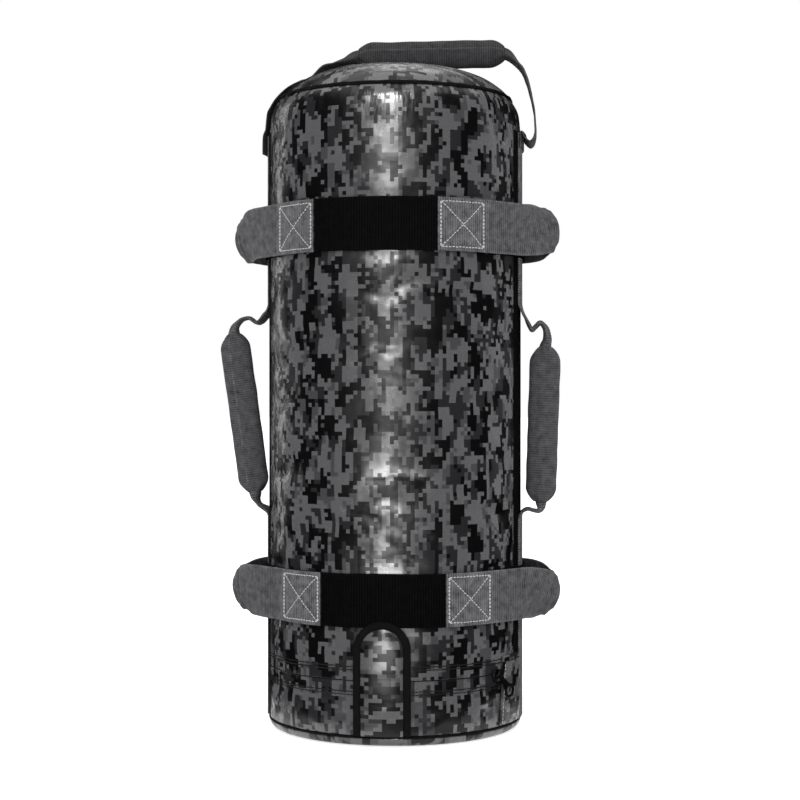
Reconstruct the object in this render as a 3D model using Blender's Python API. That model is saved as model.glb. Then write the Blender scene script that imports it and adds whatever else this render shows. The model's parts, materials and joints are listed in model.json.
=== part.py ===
# Sandbag trainer: a round bag of coated cloth with webbing bands, loops and handles.
# Frame: metres, +Z up, origin at the middle of the flat base, the zip and its flap face -Y.

import math

import bmesh
import bpy
from mathutils import Matrix, Vector

# Bag shell
BAG_RADIUS = 0.125
STRAIGHT_TOP = 0.585
SHOULDER_HEIGHT = 0.066
SHOULDER_POWER_SHARE = 2.5
TOP_SEAM_INSET = 0.0095
TOP_SEAM_RADIUS = BAG_RADIUS - TOP_SEAM_INSET
SHELL_CLOTH = 0.0015
BASE_RIM_HEIGHT = 0.0071
BASE_EDGE_RADIUS = 0.008
PIPING_RADIUS = 0.0012
BINDING_WIDTH = 0.004
BINDING_HEIGHT = 0.0014
SEAM_GAP = 0.0003
WRAP_GAP = 0.0004
ROUND_STEPS = 48
WRAP_STEP = math.radians(6.0)

# Filling
LINER_CLEARANCE = 0.0020
LINER_THICKNESS = 0.0320
LINER_BORE = BAG_RADIUS - LINER_THICKNESS
BASE_PAD_TOP = 0.045
TOP_PAD_DROP = 0.025
TOP_PAD_BOTTOM = STRAIGHT_TOP - TOP_PAD_DROP
TOP_PAD_CLEARANCE = 0.0035
SAND_BAG_COUNT = 3
SAND_BAG_CLEARANCE = 0.0030
SAND_BAG_RADIUS = LINER_BORE - SAND_BAG_CLEARANCE
SAND_BAG_EDGE = 0.0080
SAND_BAG_CLOTH = 0.0010
SAND_NECK_RADIUS = 0.0140
SAND_NECK_HEIGHT = 0.0080
SAND_BAG_SLOPE = 0.0140
SAND_TIE_CLOTH = 0.0020
SAND_TIE_HEIGHT = 0.0050
FILLING_GAP = 0.0003
SAND_STEPS = 24

# Webbing
WEBBING_WIDTH = 0.050
WEBBING = 0.0016
SIDE_STRAP_ANGLE = math.radians(90.0)
BAND_HEIGHTS = {"upper": 0.486, "lower": 0.1355}
BAND_YAWS = {"upper": math.radians(-3.7), "lower": 0.0}
BAND_RAMP = math.radians(2.0)

# Loops on the bands
PATCH_START = math.radians(27.3)
LOOP_LEAVES = math.radians(50.0)
LOOP_AXIS_GAP = 0.009
LOOP_AXIS_OUT = BAG_RADIUS + LOOP_AXIS_GAP
LOOP_TILT = math.radians(20.0)
LOOP_RELIEF = 0.0012
LOOP_TIP_RADIUS = 0.012
LOOP_GRIP_HEIGHT = 0.029
LOOP_GRIP_THICKNESS = 0.010
LOOP_FLAT_LENGTH = 0.017
LOOP_FLAT_UNTIL = LOOP_AXIS_OUT + LOOP_FLAT_LENGTH
LOOP_RISES = {"upper_left": math.radians(-10.0), "upper_right": math.radians(9.0),
              "lower_left": math.radians(-6.0), "lower_right": math.radians(-14.0)}

# Side handles, seen in the XZ plane; each grip end lies further out than the swing axis, and
# below the upper sewn end or above the lower one
HANDLE_AXIS_GAP = 0.004
HANDLE_AXIS_OUT = BAG_RADIUS + HANDLE_AXIS_GAP
HANDLE_SWING = math.radians(30.0)
HANDLE_NOSE_REACH = 0.0037
HANDLE_UPPER_START = 0.0050
HANDLE_LOWER_START = 0.0044
HANDLE_END_WIDTH = 0.027
HANDLE_INNER_WIDTH = 0.0076
HANDLE_UPPER_SEWN_END = 0.4105
HANDLE_LOWER_SEWN_END = 0.2110
LEFT_GRIP_TOP_REACH = 0.0345
LEFT_GRIP_TOP_DROP = 0.0225
LEFT_GRIP_FOOT_REACH = 0.0125
LEFT_GRIP_FOOT_RISE = 0.0190
RIGHT_GRIP_TOP_REACH = 0.0210
RIGHT_GRIP_TOP_DROP = 0.0365
RIGHT_GRIP_FOOT_REACH = 0.0160
RIGHT_GRIP_FOOT_RISE = 0.0110
GRIP_DEPTH = 0.0305
GRIP_THICKNESS = 0.0140
GRIP_WALL = 0.0015
GRIP_NECK_DEPTH = 0.0100
GRIP_SHOULDER = 0.014
CORE_WIDTH = 0.0096
CORE_CLEARANCE = 0.0003

GRIP_TOPS = {
    "left": (HANDLE_AXIS_OUT + LEFT_GRIP_TOP_REACH, HANDLE_UPPER_SEWN_END - LEFT_GRIP_TOP_DROP),
    "right": (HANDLE_AXIS_OUT + RIGHT_GRIP_TOP_REACH, HANDLE_UPPER_SEWN_END - RIGHT_GRIP_TOP_DROP),
}
GRIP_BOTTOMS = {
    "left": (HANDLE_AXIS_OUT + LEFT_GRIP_FOOT_REACH, HANDLE_LOWER_SEWN_END + LEFT_GRIP_FOOT_RISE),
    "right": (HANDLE_AXIS_OUT + RIGHT_GRIP_FOOT_REACH, HANDLE_LOWER_SEWN_END + RIGHT_GRIP_FOOT_RISE),
}

# Folds of the handle straps, as shares of the way out and of the way down or up, and of the width
UPPER_FOLD_SHARES = {
    "right": ((0.0, 0.33, 1.0), (0.156, 0.52, 1.0), (0.406, 0.44, 0.9), (0.656, 0.29, 0.8),
              (1.0, 0.42, 0.65), (1.09, 0.78, 0.45), (1.0, 1.0, 0.28)),
    "left": ((0.0, 0.355, 1.0), (0.156, 0.49, 1.0), (0.312, 0.387, 0.9), (0.464, 0.28, 0.8),
             (0.712, 0.355, 0.65), (0.932, 0.644, 0.45), (1.0, 1.0, 0.28)),
}
LOWER_FOLD_SHARES = {
    "right": ((1.0, 1.0, 0.28), (1.04, 0.38, 0.45), (0.79, 0.055, 0.7), (0.40, 0.145, 0.9),
              (0.0, 0.29, 1.0)),
    "left": ((1.0, 1.0, 0.28), (0.88, 0.605, 0.45), (0.51, 0.34, 0.8), (0.0, 0.18, 1.0)),
}
TOP_RIGHT_SHARES = ((0.0, 0.0, 0.15), (0.10, 0.013, 0.2), (0.40, 0.119, 0.6), (0.733, 0.304, 0.9),
                    (0.917, 0.542, 1.0), (1.017, 0.766, 1.0), (1.0, 0.892, 1.0), (1.0, 1.0, 1.0))
TOP_FOLD_SHARES = ((0.0, 0.52), (0.094, 0.25), (0.242, 0.31), (0.375, 0.645), (0.648, 0.98),
                   (0.92, 0.71), (1.0, 0.32), (1.0, 0.02))

# Top handle
TOP_SEWN_RISE = 0.0050
TOP_SEWN_END = STRAIGHT_TOP + TOP_SEWN_RISE
TOP_FOLD_REACH = 0.014
TOP_FOLD_OUT = BAG_RADIUS + TOP_FOLD_REACH
TOP_FOLD_DROP = 0.0155
TOP_GRIP_INSET = 0.016
TOP_GRIP_LENGTH = 0.145
TOP_GRIP_RIGHT = BAG_RADIUS - TOP_GRIP_INSET
TOP_GRIP_LEFT = TOP_GRIP_RIGHT - TOP_GRIP_LENGTH
TOP_GRIP_DEPTH = 0.0280
TOP_GRIP_GAP = 0.001
TOP_GRIP_HEIGHT = STRAIGHT_TOP + SHOULDER_HEIGHT + TOP_GRIP_DEPTH / 2.0 + TOP_GRIP_GAP
TOP_STRAP_WIDTH = WEBBING_WIDTH

# Zip
ZIP_HEIGHT = 0.061
ZIP_LEFT = math.radians(-77.0)
ZIP_RIGHT = math.radians(59.0)
ZIP_SLOT = 0.0064
ZIP_TAPE_WIDTH = 0.0150
ZIP_TAPE = 0.0010
ZIP_COIL_WIDTH = 0.0026
ZIP_COIL = 0.0016
ZIP_STOP_LENGTH = 0.004
SLIDER_ANGLE = math.radians(55.5)
SLIDER_LENGTH = 0.0110
SLIDER_WIDTH = 0.0095
SLIDER_BODY = 0.0024
SLIDER_GAP = 0.0006
SLIDER_LUG = 0.0014
SLIDER_LUG_SPAN = 0.0036
SLIDER_LUG_LENGTH = 0.0030
PULL_BAR_RADIUS = 0.0006
PULL_BAR_HEIGHT = 0.0022
PULL_EYE_RADIUS = 0.0009
PULL_EYE_OUTER = 0.0019
PULL_LENGTH = 0.0250
PULL_WIDTH = 0.0052
PULL_RING_RADIUS = 0.0058
PULL_RING_HOLE = 0.0019
PULL_THICKNESS = 0.0014
PULL_RING_TURN = math.radians(140.0)
PULL_DROOP = math.radians(-48.0)

# Patch over the right end of the zip
END_PATCH_TOP = 0.077
END_PATCH_UPPER_LEFT = math.radians(60.5)
END_PATCH_LOWER_LEFT = math.radians(57.5)
END_PATCH_CLOTH = 0.0011

# Security flap
FLAP_WIDTH = 0.0545
FLAP_BOTTOM = 0.0100
FLAP_TOP = 0.117
FLAP_CLOTH = 0.0012
FLAP_BASE_GAP = 0.0012
FLAP_FACE_GAP = 0.0024
FLAP_BASE_RADIUS = BAG_RADIUS + FLAP_BASE_GAP
FLAP_FACE_RADIUS = BAG_RADIUS + FLAP_FACE_GAP
FLAP_SLOPE_TOP = 0.060
FLAP_BINDING = 0.0075
FLAP_BINDING_CLOTH = 0.0022
HOOK_STRIP_LOW = 0.082
HOOK_STRIP_HIGH = 0.104
HOOK_STRIP_WIDTH = 0.030
HOOK_STRIP_CLOTH = 0.0007

# Finish of each slot: colour, roughness, metallic
FINISHES = {
    "camo_cloth": ((0.085, 0.085, 0.092, 1.0), 0.38, 0.0),
    "seam_binding": ((0.012, 0.012, 0.014, 1.0), 0.60, 0.0),
    "black_webbing": ((0.010, 0.010, 0.011, 1.0), 0.70, 0.0),
    "grey_webbing": ((0.120, 0.120, 0.128, 1.0), 0.75, 0.0),
    "dark_webbing": ((0.045, 0.045, 0.050, 1.0), 0.75, 0.0),
    "zip_tape": ((0.012, 0.012, 0.014, 1.0), 0.80, 0.0),
    "zip_coil": ((0.020, 0.020, 0.022, 1.0), 0.45, 0.0),
    "zip_metal": ((0.060, 0.060, 0.065, 1.0), 0.35, 1.0),
    "hook_and_loop": ((0.015, 0.015, 0.016, 1.0), 0.90, 0.0),
    "liner_foam": ((0.700, 0.700, 0.680, 1.0), 0.90, 0.0),
    "inner_cloth": ((0.150, 0.150, 0.160, 1.0), 0.80, 0.0),
    "sand": ((0.520, 0.430, 0.300, 1.0), 0.95, 0.0),
    "handle_foam": ((0.250, 0.250, 0.250, 1.0), 0.90, 0.0),
}


def clear_scene():
    for scene_object in list(bpy.data.objects):
        bpy.data.objects.remove(scene_object, do_unlink=True)


def make_material(slot):
    color, roughness, metallic = FINISHES[slot]
    material = bpy.data.materials.new(slot)
    material.use_nodes = True
    shader = material.node_tree.nodes["Principled BSDF"]
    shader.inputs["Base Color"].default_value = color
    shader.inputs["Roughness"].default_value = roughness
    shader.inputs["Metallic"].default_value = metallic
    return material


def joint_empty(name, place):
    """An empty on a joint's axis, which carries the pieces that the joint moves."""
    empty = bpy.data.objects.new(name, None)
    empty.location = place
    bpy.context.scene.collection.objects.link(empty)
    bpy.context.view_layer.update()
    return empty


def finish_object(name, mesh_builder, slot, carrier=None, sharp=math.radians(40.0)):
    """Turn a filled bmesh into a named object with its material, hung on its carrier."""
    bmesh.ops.recalc_face_normals(mesh_builder, faces=mesh_builder.faces)
    mesh = bpy.data.meshes.new(name)
    mesh_builder.to_mesh(mesh)
    mesh_builder.free()
    mesh.shade_smooth()
    mesh.set_sharp_from_angle(angle=sharp)
    piece = bpy.data.objects.new(name, mesh)
    bpy.context.scene.collection.objects.link(piece)
    mesh.materials.append(bpy.data.materials.get(slot) or make_material(slot))
    if carrier is not None:
        piece.parent = carrier
        piece.matrix_parent_inverse = carrier.matrix_world.inverted()
    return piece


def on_bag(angle, radius, height):
    """A point at an angle from the front, counted towards +X, at a radius and a height."""
    return Vector((radius * math.sin(angle), -radius * math.cos(angle), height))


def turned(name, profile, slot, steps=ROUND_STEPS):
    """A closed profile of (radius, height) points turned about the bag's axis."""
    builder = bmesh.new()
    rings = []
    for radius, height in profile:
        if radius == 0.0:
            rings.append([builder.verts.new((0.0, 0.0, height))])
            continue
        angles = [2.0 * math.pi * step / steps for step in range(steps)]
        rings.append([builder.verts.new(on_bag(angle, radius, height)) for angle in angles])
    for first, second in zip(rings, rings[1:] + rings[:1]):
        for step in range(steps):
            after = (step + 1) % steps
            corners = [first[step % len(first)], first[after % len(first)],
                       second[after % len(second)], second[step % len(second)]]
            distinct = list(dict.fromkeys(corners))
            if len(distinct) > 2:
                builder.faces.new(distinct)
    return finish_object(name, builder, slot)


def loft(name, rings, slot, carrier=None, closed=False):
    """Faces between rings of points, capped at both ends unless the rings close on themselves."""
    builder = bmesh.new()
    corners = [[builder.verts.new(point) for point in ring] for ring in rings]
    pairs = list(zip(corners, corners[1:]))
    if closed:
        pairs.append((corners[-1], corners[0]))
    count = len(corners[0])
    for first, second in pairs:
        for place in range(count):
            after = (place + 1) % count
            builder.faces.new((first[place], first[after], second[after], second[place]))
    if not closed:
        builder.faces.new(corners[0])
        builder.faces.new(list(reversed(corners[-1])))
    return finish_object(name, builder, slot, carrier)


def spread(low, high, step):
    """Even values from low to high, no further apart than the step."""
    count = max(1, math.ceil(abs(high - low) / step))
    return [low + (high - low) * place / count for place in range(count + 1)]


def wrapped_panel(name, rows, slot, carrier=None):
    """A sheet round the bag: rows of (height, left angle, right angle, inner radius, thickness)."""
    widest = max(abs(right - left) for height, left, right, inner, cloth in rows)
    columns = max(2, math.ceil(widest / WRAP_STEP))
    rings = []
    for height, left, right, inner, cloth in rows:
        angles = [left + (right - left) * column / columns for column in range(columns + 1)]
        outside = [on_bag(angle, inner + cloth, height) for angle in angles]
        inside = [on_bag(angle, inner, height) for angle in angles]
        rings.append(outside + list(reversed(inside)))
    return loft(name, rings, slot, carrier)


def smooth_path(points, spans):
    """Points along a smooth curve through hand-set points of any dimension."""
    knots = [points[0]] + list(points) + [points[-1]]
    path = []
    for place in range(1, len(knots) - 2):
        before, start, end, after = knots[place - 1:place + 3]
        for step in range(spans):
            share = step / spans
            path.append(tuple(
                0.5 * (2.0 * b + (c - a) * share + (2.0 * a - 5.0 * b + 4.0 * c - d) * share ** 2
                       + (3.0 * b - a - 3.0 * c + d) * share ** 3)
                for a, b, c, d in zip(before, start, end, after)))
    path.append(tuple(points[-1]))
    return path


def shoulder_height(radius):
    """Height of the bag's outer face above the straight wall, at a radius on the rounded shoulder."""
    power = SHOULDER_POWER_SHARE
    reach = max(0.0, 1.0 - (radius / BAG_RADIUS) ** power)
    return STRAIGHT_TOP + SHOULDER_HEIGHT * reach ** (1.0 / power)


def build_shell():
    """Wall with its shoulder, top panel, base panel and the two seams between them."""
    wall_bottom = BASE_RIM_HEIGHT + 2.0 * PIPING_RADIUS + 2.0 * SEAM_GAP
    shares = (1.0, 0.992, 0.975, 0.955)
    outer = [(BAG_RADIUS * share, shoulder_height(BAG_RADIUS * share)) for share in shares]
    outer.append((TOP_SEAM_RADIUS, shoulder_height(TOP_SEAM_RADIUS)))
    inner = [(radius - SHELL_CLOTH, height - SHELL_CLOTH * (1.0 - share))
             for (radius, height), share in zip(outer, (1.0, 0.9, 0.6, 0.4, 0.2))]
    profile = [(BAG_RADIUS, wall_bottom)] + outer + inner[::-1]
    profile.append((BAG_RADIUS - SHELL_CLOTH, wall_bottom))
    wall = turned("shell_wall", profile, "camo_cloth")
    cut_zip_slot(wall)

    rim = TOP_SEAM_RADIUS - SEAM_GAP
    shares = (1.0, 0.88, 0.70, 0.48, 0.24)
    outer = [(rim * share, shoulder_height(rim * share)) for share in shares]
    inner = [(radius - SHELL_CLOTH * share, height - SHELL_CLOTH)
             for (radius, height), share in zip(outer, shares)]
    crown = shoulder_height(0.0)
    turned("top_panel", outer + [(0.0, crown), (0.0, crown - SHELL_CLOTH)] + inner[::-1], "camo_cloth")

    flat = BAG_RADIUS - BASE_EDGE_RADIUS
    outer = [(0.0, 0.0)]
    inner = [(0.0, SHELL_CLOTH)]
    rim_angle = math.acos(1.0 - BASE_RIM_HEIGHT / BASE_EDGE_RADIUS)
    bend = BASE_EDGE_RADIUS - SHELL_CLOTH
    for share in (0.0, 0.35, 0.7, 1.0):
        angle = rim_angle * share
        outer.append((flat + BASE_EDGE_RADIUS * math.sin(angle), BASE_EDGE_RADIUS * (1.0 - math.cos(angle))))
        inner.append((flat + bend * math.sin(angle), BASE_EDGE_RADIUS - bend * math.cos(angle)))
    turned("base_panel", outer + inner[::-1], "camo_cloth")


def build_seams():
    """Piping between wall and base, and the flat binding over the top seam."""
    middle = (BAG_RADIUS - PIPING_RADIUS / 2.0, BASE_RIM_HEIGHT + SEAM_GAP + PIPING_RADIUS)
    sides = 6
    angles = [2.0 * math.pi * side / sides for side in range(sides)]
    profile = [(middle[0] + PIPING_RADIUS * math.cos(angle), middle[1] + PIPING_RADIUS * math.sin(angle))
               for angle in angles]
    turned("base_piping", profile, "seam_binding")

    half = BINDING_WIDTH / 2.0
    radii = (TOP_SEAM_RADIUS + half, TOP_SEAM_RADIUS, TOP_SEAM_RADIUS - half)
    lower = [(radius, shoulder_height(radius) + WRAP_GAP) for radius in radii]
    upper = [(radius + lift, height + lift) for (radius, height), lift
             in zip(lower, (BINDING_HEIGHT / 3.0, BINDING_HEIGHT, BINDING_HEIGHT / 3.0))]
    turned("top_seam_binding", lower + upper[::-1], "seam_binding")


def cut_zip_slot(wall):
    """The slot that the zip closes, cut through the wall round the front of the bag."""
    half = ZIP_SLOT / 2.0
    reach = 2.0 * SHELL_CLOTH
    angles = spread(ZIP_LEFT, ZIP_RIGHT, WRAP_STEP)
    rings = []
    for angle in angles:
        rings.append([on_bag(angle, BAG_RADIUS + reach, ZIP_HEIGHT - half),
                      on_bag(angle, BAG_RADIUS + reach, ZIP_HEIGHT + half),
                      on_bag(angle, BAG_RADIUS - SHELL_CLOTH - reach, ZIP_HEIGHT + half),
                      on_bag(angle, BAG_RADIUS - SHELL_CLOTH - reach, ZIP_HEIGHT - half)])
    cutter = loft("zip_slot_cutter", rings, "camo_cloth")
    cutter.hide_render = True
    cutter.display_type = "WIRE"
    cut = wall.modifiers.new("zip_slot", "BOOLEAN")
    cut.operation = "DIFFERENCE"
    cut.solver = "EXACT"
    cut.object = cutter


def build_liner():
    """The soft liner that keeps the sand bags in the middle: base pad, sleeve and top pad."""
    outer = BAG_RADIUS - SHELL_CLOTH - LINER_CLEARANCE
    low = SHELL_CLOTH + FILLING_GAP
    edge = 1.5 * BASE_EDGE_RADIUS
    turned("liner_base_pad", [(0.0, low), (outer - edge, low), (outer, low + edge), (outer, BASE_PAD_TOP),
                              (0.0, BASE_PAD_TOP)], "liner_foam")
    sleeve_low = BASE_PAD_TOP + FILLING_GAP
    sleeve_high = TOP_PAD_BOTTOM - FILLING_GAP
    turned("liner_sleeve", [(outer, sleeve_low), (outer, sleeve_high), (LINER_BORE, sleeve_high),
                            (LINER_BORE, sleeve_low)], "liner_foam")
    profile = [(0.0, TOP_PAD_BOTTOM), (outer, TOP_PAD_BOTTOM)]
    for share in (0.97, 0.90, 0.72, 0.40):
        radius = outer * share
        profile.append((radius, shoulder_height(radius + LINER_CLEARANCE) - TOP_PAD_CLEARANCE))
    profile.append((0.0, shoulder_height(0.0) - TOP_PAD_CLEARANCE))
    turned("liner_top_pad", profile, "liner_foam")


def build_sand_bags():
    """Three filler bags on top of each other, each with its skin, its sand and its tied neck."""
    room = TOP_PAD_BOTTOM - BASE_PAD_TOP
    pitch = room / SAND_BAG_COUNT
    body = pitch - SAND_NECK_HEIGHT - FILLING_GAP
    for number in range(SAND_BAG_COUNT):
        low = BASE_PAD_TOP + FILLING_GAP + pitch * number
        side_top = low + body - SAND_BAG_SLOPE
        outer = [(0.0, low), (SAND_BAG_RADIUS - SAND_BAG_EDGE, low), (SAND_BAG_RADIUS, low + SAND_BAG_EDGE),
                 (SAND_BAG_RADIUS, side_top), (SAND_NECK_RADIUS, low + body - FILLING_GAP),
                 (SAND_NECK_RADIUS, low + pitch - 2.0 * FILLING_GAP)]
        cloth = SAND_BAG_CLOTH
        inner = [(0.0, low + cloth), (SAND_BAG_RADIUS - SAND_BAG_EDGE - cloth / 2.0, low + cloth),
                 (SAND_BAG_RADIUS - cloth, low + SAND_BAG_EDGE + cloth / 2.0),
                 (SAND_BAG_RADIUS - cloth, side_top - cloth / 2.0),
                 (SAND_NECK_RADIUS - cloth, low + body - cloth - FILLING_GAP),
                 (SAND_NECK_RADIUS - cloth, low + pitch - 2.0 * FILLING_GAP)]
        label = f"sand_bag_{number + 1}"
        turned(f"{label}_skin", outer + inner[::-1], "inner_cloth", SAND_STEPS)
        gap = FILLING_GAP
        sand = [(0.0, low + cloth + gap), (SAND_BAG_RADIUS - SAND_BAG_EDGE - cloth - gap, low + cloth + gap),
                (SAND_BAG_RADIUS - cloth - gap, low + SAND_BAG_EDGE + cloth + gap),
                (SAND_BAG_RADIUS - cloth - gap, side_top - cloth - gap),
                (SAND_NECK_RADIUS, low + body - 2.0 * cloth - 2.0 * gap),
                (0.0, low + body - 2.0 * cloth - 2.0 * gap)]
        turned(f"{label}_sand", sand, "sand", SAND_STEPS)
        tie_low = low + body + FILLING_GAP
        tie_inner = SAND_NECK_RADIUS + FILLING_GAP
        tie_outer = tie_inner + SAND_TIE_CLOTH
        turned(f"{label}_tie", [(tie_outer, tie_low), (tie_outer, tie_low + SAND_TIE_HEIGHT),
                                (tie_inner, tie_low + SAND_TIE_HEIGHT), (tie_inner, tie_low)],
               "hook_and_loop", SAND_STEPS)


def band_radius(angle):
    """Inner radius of a band: on the shell, and lifted where it crosses a sewn side strap."""
    low = BAG_RADIUS + WRAP_GAP
    high = low + WEBBING + WRAP_GAP
    strap_half = WEBBING_WIDTH / 2.0 / BAG_RADIUS + WRAP_STEP / 3.0
    away = abs(abs(math.remainder(angle, 2.0 * math.pi)) - SIDE_STRAP_ANGLE)
    share = min(1.0, max(0.0, (strap_half + BAND_RAMP - away) / BAND_RAMP))
    return low + (high - low) * share


def build_bands():
    """The two black bands that carry the loops, each a closed ring of webbing."""
    strap_half = WEBBING_WIDTH / 2.0 / BAG_RADIUS + WRAP_STEP / 3.0
    angles = spread(0.0, 2.0 * math.pi, WRAP_STEP)[:-1]
    for side in (SIDE_STRAP_ANGLE, 2.0 * math.pi - SIDE_STRAP_ANGLE):
        for edge in (strap_half, strap_half + BAND_RAMP):
            angles += [side - edge, side + edge]
    angles.sort()
    for level, middle in BAND_HEIGHTS.items():
        half = WEBBING_WIDTH / 2.0
        rings = []
        for angle in angles:
            inner = band_radius(angle)
            rings.append([on_bag(angle, inner, middle - half), on_bag(angle, inner + WEBBING, middle - half),
                          on_bag(angle, inner + WEBBING, middle + half), on_bag(angle, inner, middle + half)])
        loft(f"band_{level}", rings, "black_webbing", closed=True)


def loop_line(out, offset=0.0):
    """Depth, behind -Y, of a loop's straight leg at a distance out from the bag's axis."""
    radius = BAG_RADIUS + 2.0 * WRAP_GAP + 1.5 * WEBBING + offset
    foot = (radius * math.sin(LOOP_LEAVES), radius * math.cos(LOOP_LEAVES))
    return foot[1] - (out - foot[0]) * math.tan(LOOP_LEAVES)


def turned_to(points, side, depth, yaw):
    """Points of the front right loop moved to another quarter of the bag and turned with its band."""
    turn = Matrix.Rotation(yaw, 3, "Z")
    return [turn @ Vector((side * x, depth * y, z)) for x, y, z in points]


def loop_tail_rings(middle):
    """The sewn end of a loop: a patch that follows the band, then a straight leg off the bag."""
    inner = BAG_RADIUS + 2.0 * WRAP_GAP + WEBBING
    outer = inner + WEBBING
    half = WEBBING_WIDTH / 2.0
    rings = []
    for angle in spread(PATCH_START, LOOP_LEAVES, WRAP_STEP):
        rings.append([on_bag(angle, radius, middle + height)
                      for radius, height in ((inner, -half), (outer, -half), (outer, half), (inner, half))])
    ring = []
    for offset, height in ((-WEBBING / 2.0, -half), (WEBBING / 2.0, -half), (WEBBING / 2.0, half),
                           (-WEBBING / 2.0, half)):
        ring.append(Vector((LOOP_AXIS_OUT, -loop_line(LOOP_AXIS_OUT, offset), middle + height)))
    rings.append(ring)
    return rings


def section_ring(place, across, normal, half_width, half_thickness, roundness_share):
    """A webbing section: flat where roundness is 0, a round-edged fold where it is 1."""
    shares = (-1.0, -0.66, -0.33, 0.0, 0.33, 0.66, 1.0)
    outside = []
    inside = []
    for share in shares:
        bulge = math.sqrt(max(0.0, 1.0 - (0.97 * share) ** 2))
        thickness = half_thickness * (1.0 - roundness_share + roundness_share * bulge)
        middle = place + across * (half_width * share)
        outside.append(middle + normal * thickness)
        inside.append(middle - normal * thickness)
    return outside + inside[::-1]


def loop_stations():
    """Stations along half a loop, from its tilting end to its tip: place, normal, size shares."""
    tip = loop_tip()
    stations = []
    for out, share in ((LOOP_FLAT_UNTIL, 0.0), ((LOOP_FLAT_UNTIL + tip[0]) / 2.0, 0.5)):
        stations.append((Vector((out, -loop_line(out), 0.0)), LOOP_LEAVES, share))
    for turn_share in (0.0, 0.5, 1.0):
        heading = LOOP_LEAVES + (math.pi / 2.0 - LOOP_LEAVES) * turn_share
        place = Vector((tip[0] + LOOP_TIP_RADIUS * (math.sin(heading) - math.sin(LOOP_LEAVES)),
                        -LOOP_TIP_RADIUS * math.cos(heading), 0.0))
        stations.append((place, heading, 0.85 + 0.15 * turn_share))
    return stations


def loop_tip():
    """Where the straight leg ends and the round tip of the loop starts."""
    depth = LOOP_TIP_RADIUS * math.cos(LOOP_LEAVES)
    radius = BAG_RADIUS + 2.0 * WRAP_GAP + 1.5 * WEBBING
    out = radius * math.sin(LOOP_LEAVES) + (radius * math.cos(LOOP_LEAVES) - depth) / math.tan(LOOP_LEAVES)
    return out, depth


def loop_rings(middle, rise):
    """The free loop from its front tilting end, round its folded grip, to its back one, as it rests."""
    up = Vector((0.0, 0.0, 1.0))
    half = WEBBING_WIDTH / 2.0
    front = []
    relief = WEBBING / math.sin(LOOP_LEAVES) + LOOP_RELIEF
    normal = Vector((math.sin(LOOP_LEAVES), -math.cos(LOOP_LEAVES), 0.0))
    start = section_ring(Vector((LOOP_AXIS_OUT, -loop_line(LOOP_AXIS_OUT), middle)), up, normal,
                         half, WEBBING / 2.0, 0.0)
    ring = []
    for point in start:
        out = LOOP_AXIS_OUT + SEAM_GAP + min(relief, abs(point.z - middle) * math.tan(LOOP_TILT))
        shift = Vector((math.cos(LOOP_LEAVES), math.sin(LOOP_LEAVES), 0.0))
        ring.append(point + shift * ((out - point.x) / shift.x))
    front.append(ring)
    for place, heading, fold_share in loop_stations():
        normal = Vector((math.sin(heading), -math.cos(heading), 0.0))
        width = WEBBING_WIDTH + (LOOP_GRIP_HEIGHT - WEBBING_WIDTH) * fold_share
        thickness = WEBBING + (LOOP_GRIP_THICKNESS - WEBBING) * fold_share
        front.append(section_ring(place + up * middle, up, normal, width / 2.0, thickness / 2.0, fold_share))
    back = [[Vector((point.x, -point.y, point.z)) for point in ring] for ring in front[:-1]]
    pivot = Vector((LOOP_AXIS_OUT, 0.0, middle))
    tilt = Matrix.Rotation(-rise, 3, "Y")
    return [[pivot + tilt @ (point - pivot) for point in ring] for ring in front + back[::-1]]


def build_loops():
    """Four loops: two sewn ends on the band, and the free loop that tilts on its own axis."""
    for level, middle in BAND_HEIGHTS.items():
        yaw = BAND_YAWS[level]
        for side_name, side in (("left", -1.0), ("right", 1.0)):
            for depth_name, depth in (("front", 1.0), ("back", -1.0)):
                rings = [turned_to(ring, side, depth, yaw) for ring in loop_tail_rings(middle)]
                loft(f"loop_end_{level}_{side_name}_{depth_name}", rings, "grey_webbing")
            axis_place = turned_to([(LOOP_AXIS_OUT, 0.0, middle)], side, 1.0, yaw)[0]
            carrier = joint_empty(f"loop_{level}_{side_name}_axis", axis_place)
            resting = loop_rings(middle, LOOP_RISES[f"{level}_{side_name}"])
            rings = [turned_to(ring, side, 1.0, yaw) for ring in resting]
            loft(f"loop_{level}_{side_name}", rings, "grey_webbing", carrier)


def strap_rings(path, side):
    """Rings of a strap along a path of (out, height, width, hug), where hug 1 follows the bag."""
    shares = (-1.0, -0.66, -0.33, 0.0, 0.33, 0.66, 1.0)
    rings = []
    for place, (out, height, width, hug) in enumerate(path):
        before = path[max(0, place - 1)]
        after = path[min(len(path) - 1, place + 1)]
        along = Vector((after[0] - before[0], 0.0, after[1] - before[1])).normalized()
        normal = Vector((-along.z, 0.0, along.x))
        outside = []
        inside = []
        for share in shares:
            across = share * width / 2.0
            sag = hug * (BAG_RADIUS - math.sqrt(BAG_RADIUS ** 2 - across ** 2))
            middle = Vector((out - sag, across, height))
            outside.append(middle + normal * (WEBBING / 2.0))
            inside.append(middle - normal * (WEBBING / 2.0))
        ring = outside + inside[::-1]
        rings.append([Vector((side * point.x, point.y, point.z)) for point in ring])
    return rings


def nose_width(out):
    """Width of a fixed strap end near a swing axis, narrow enough to let the handle swing."""
    room = HANDLE_NOSE_REACH - (out - HANDLE_AXIS_OUT) * math.cos(HANDLE_SWING)
    return min(HANDLE_END_WIDTH, 2.0 * max(HANDLE_NOSE_REACH / 4.0, room / math.sin(HANDLE_SWING)))


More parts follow.
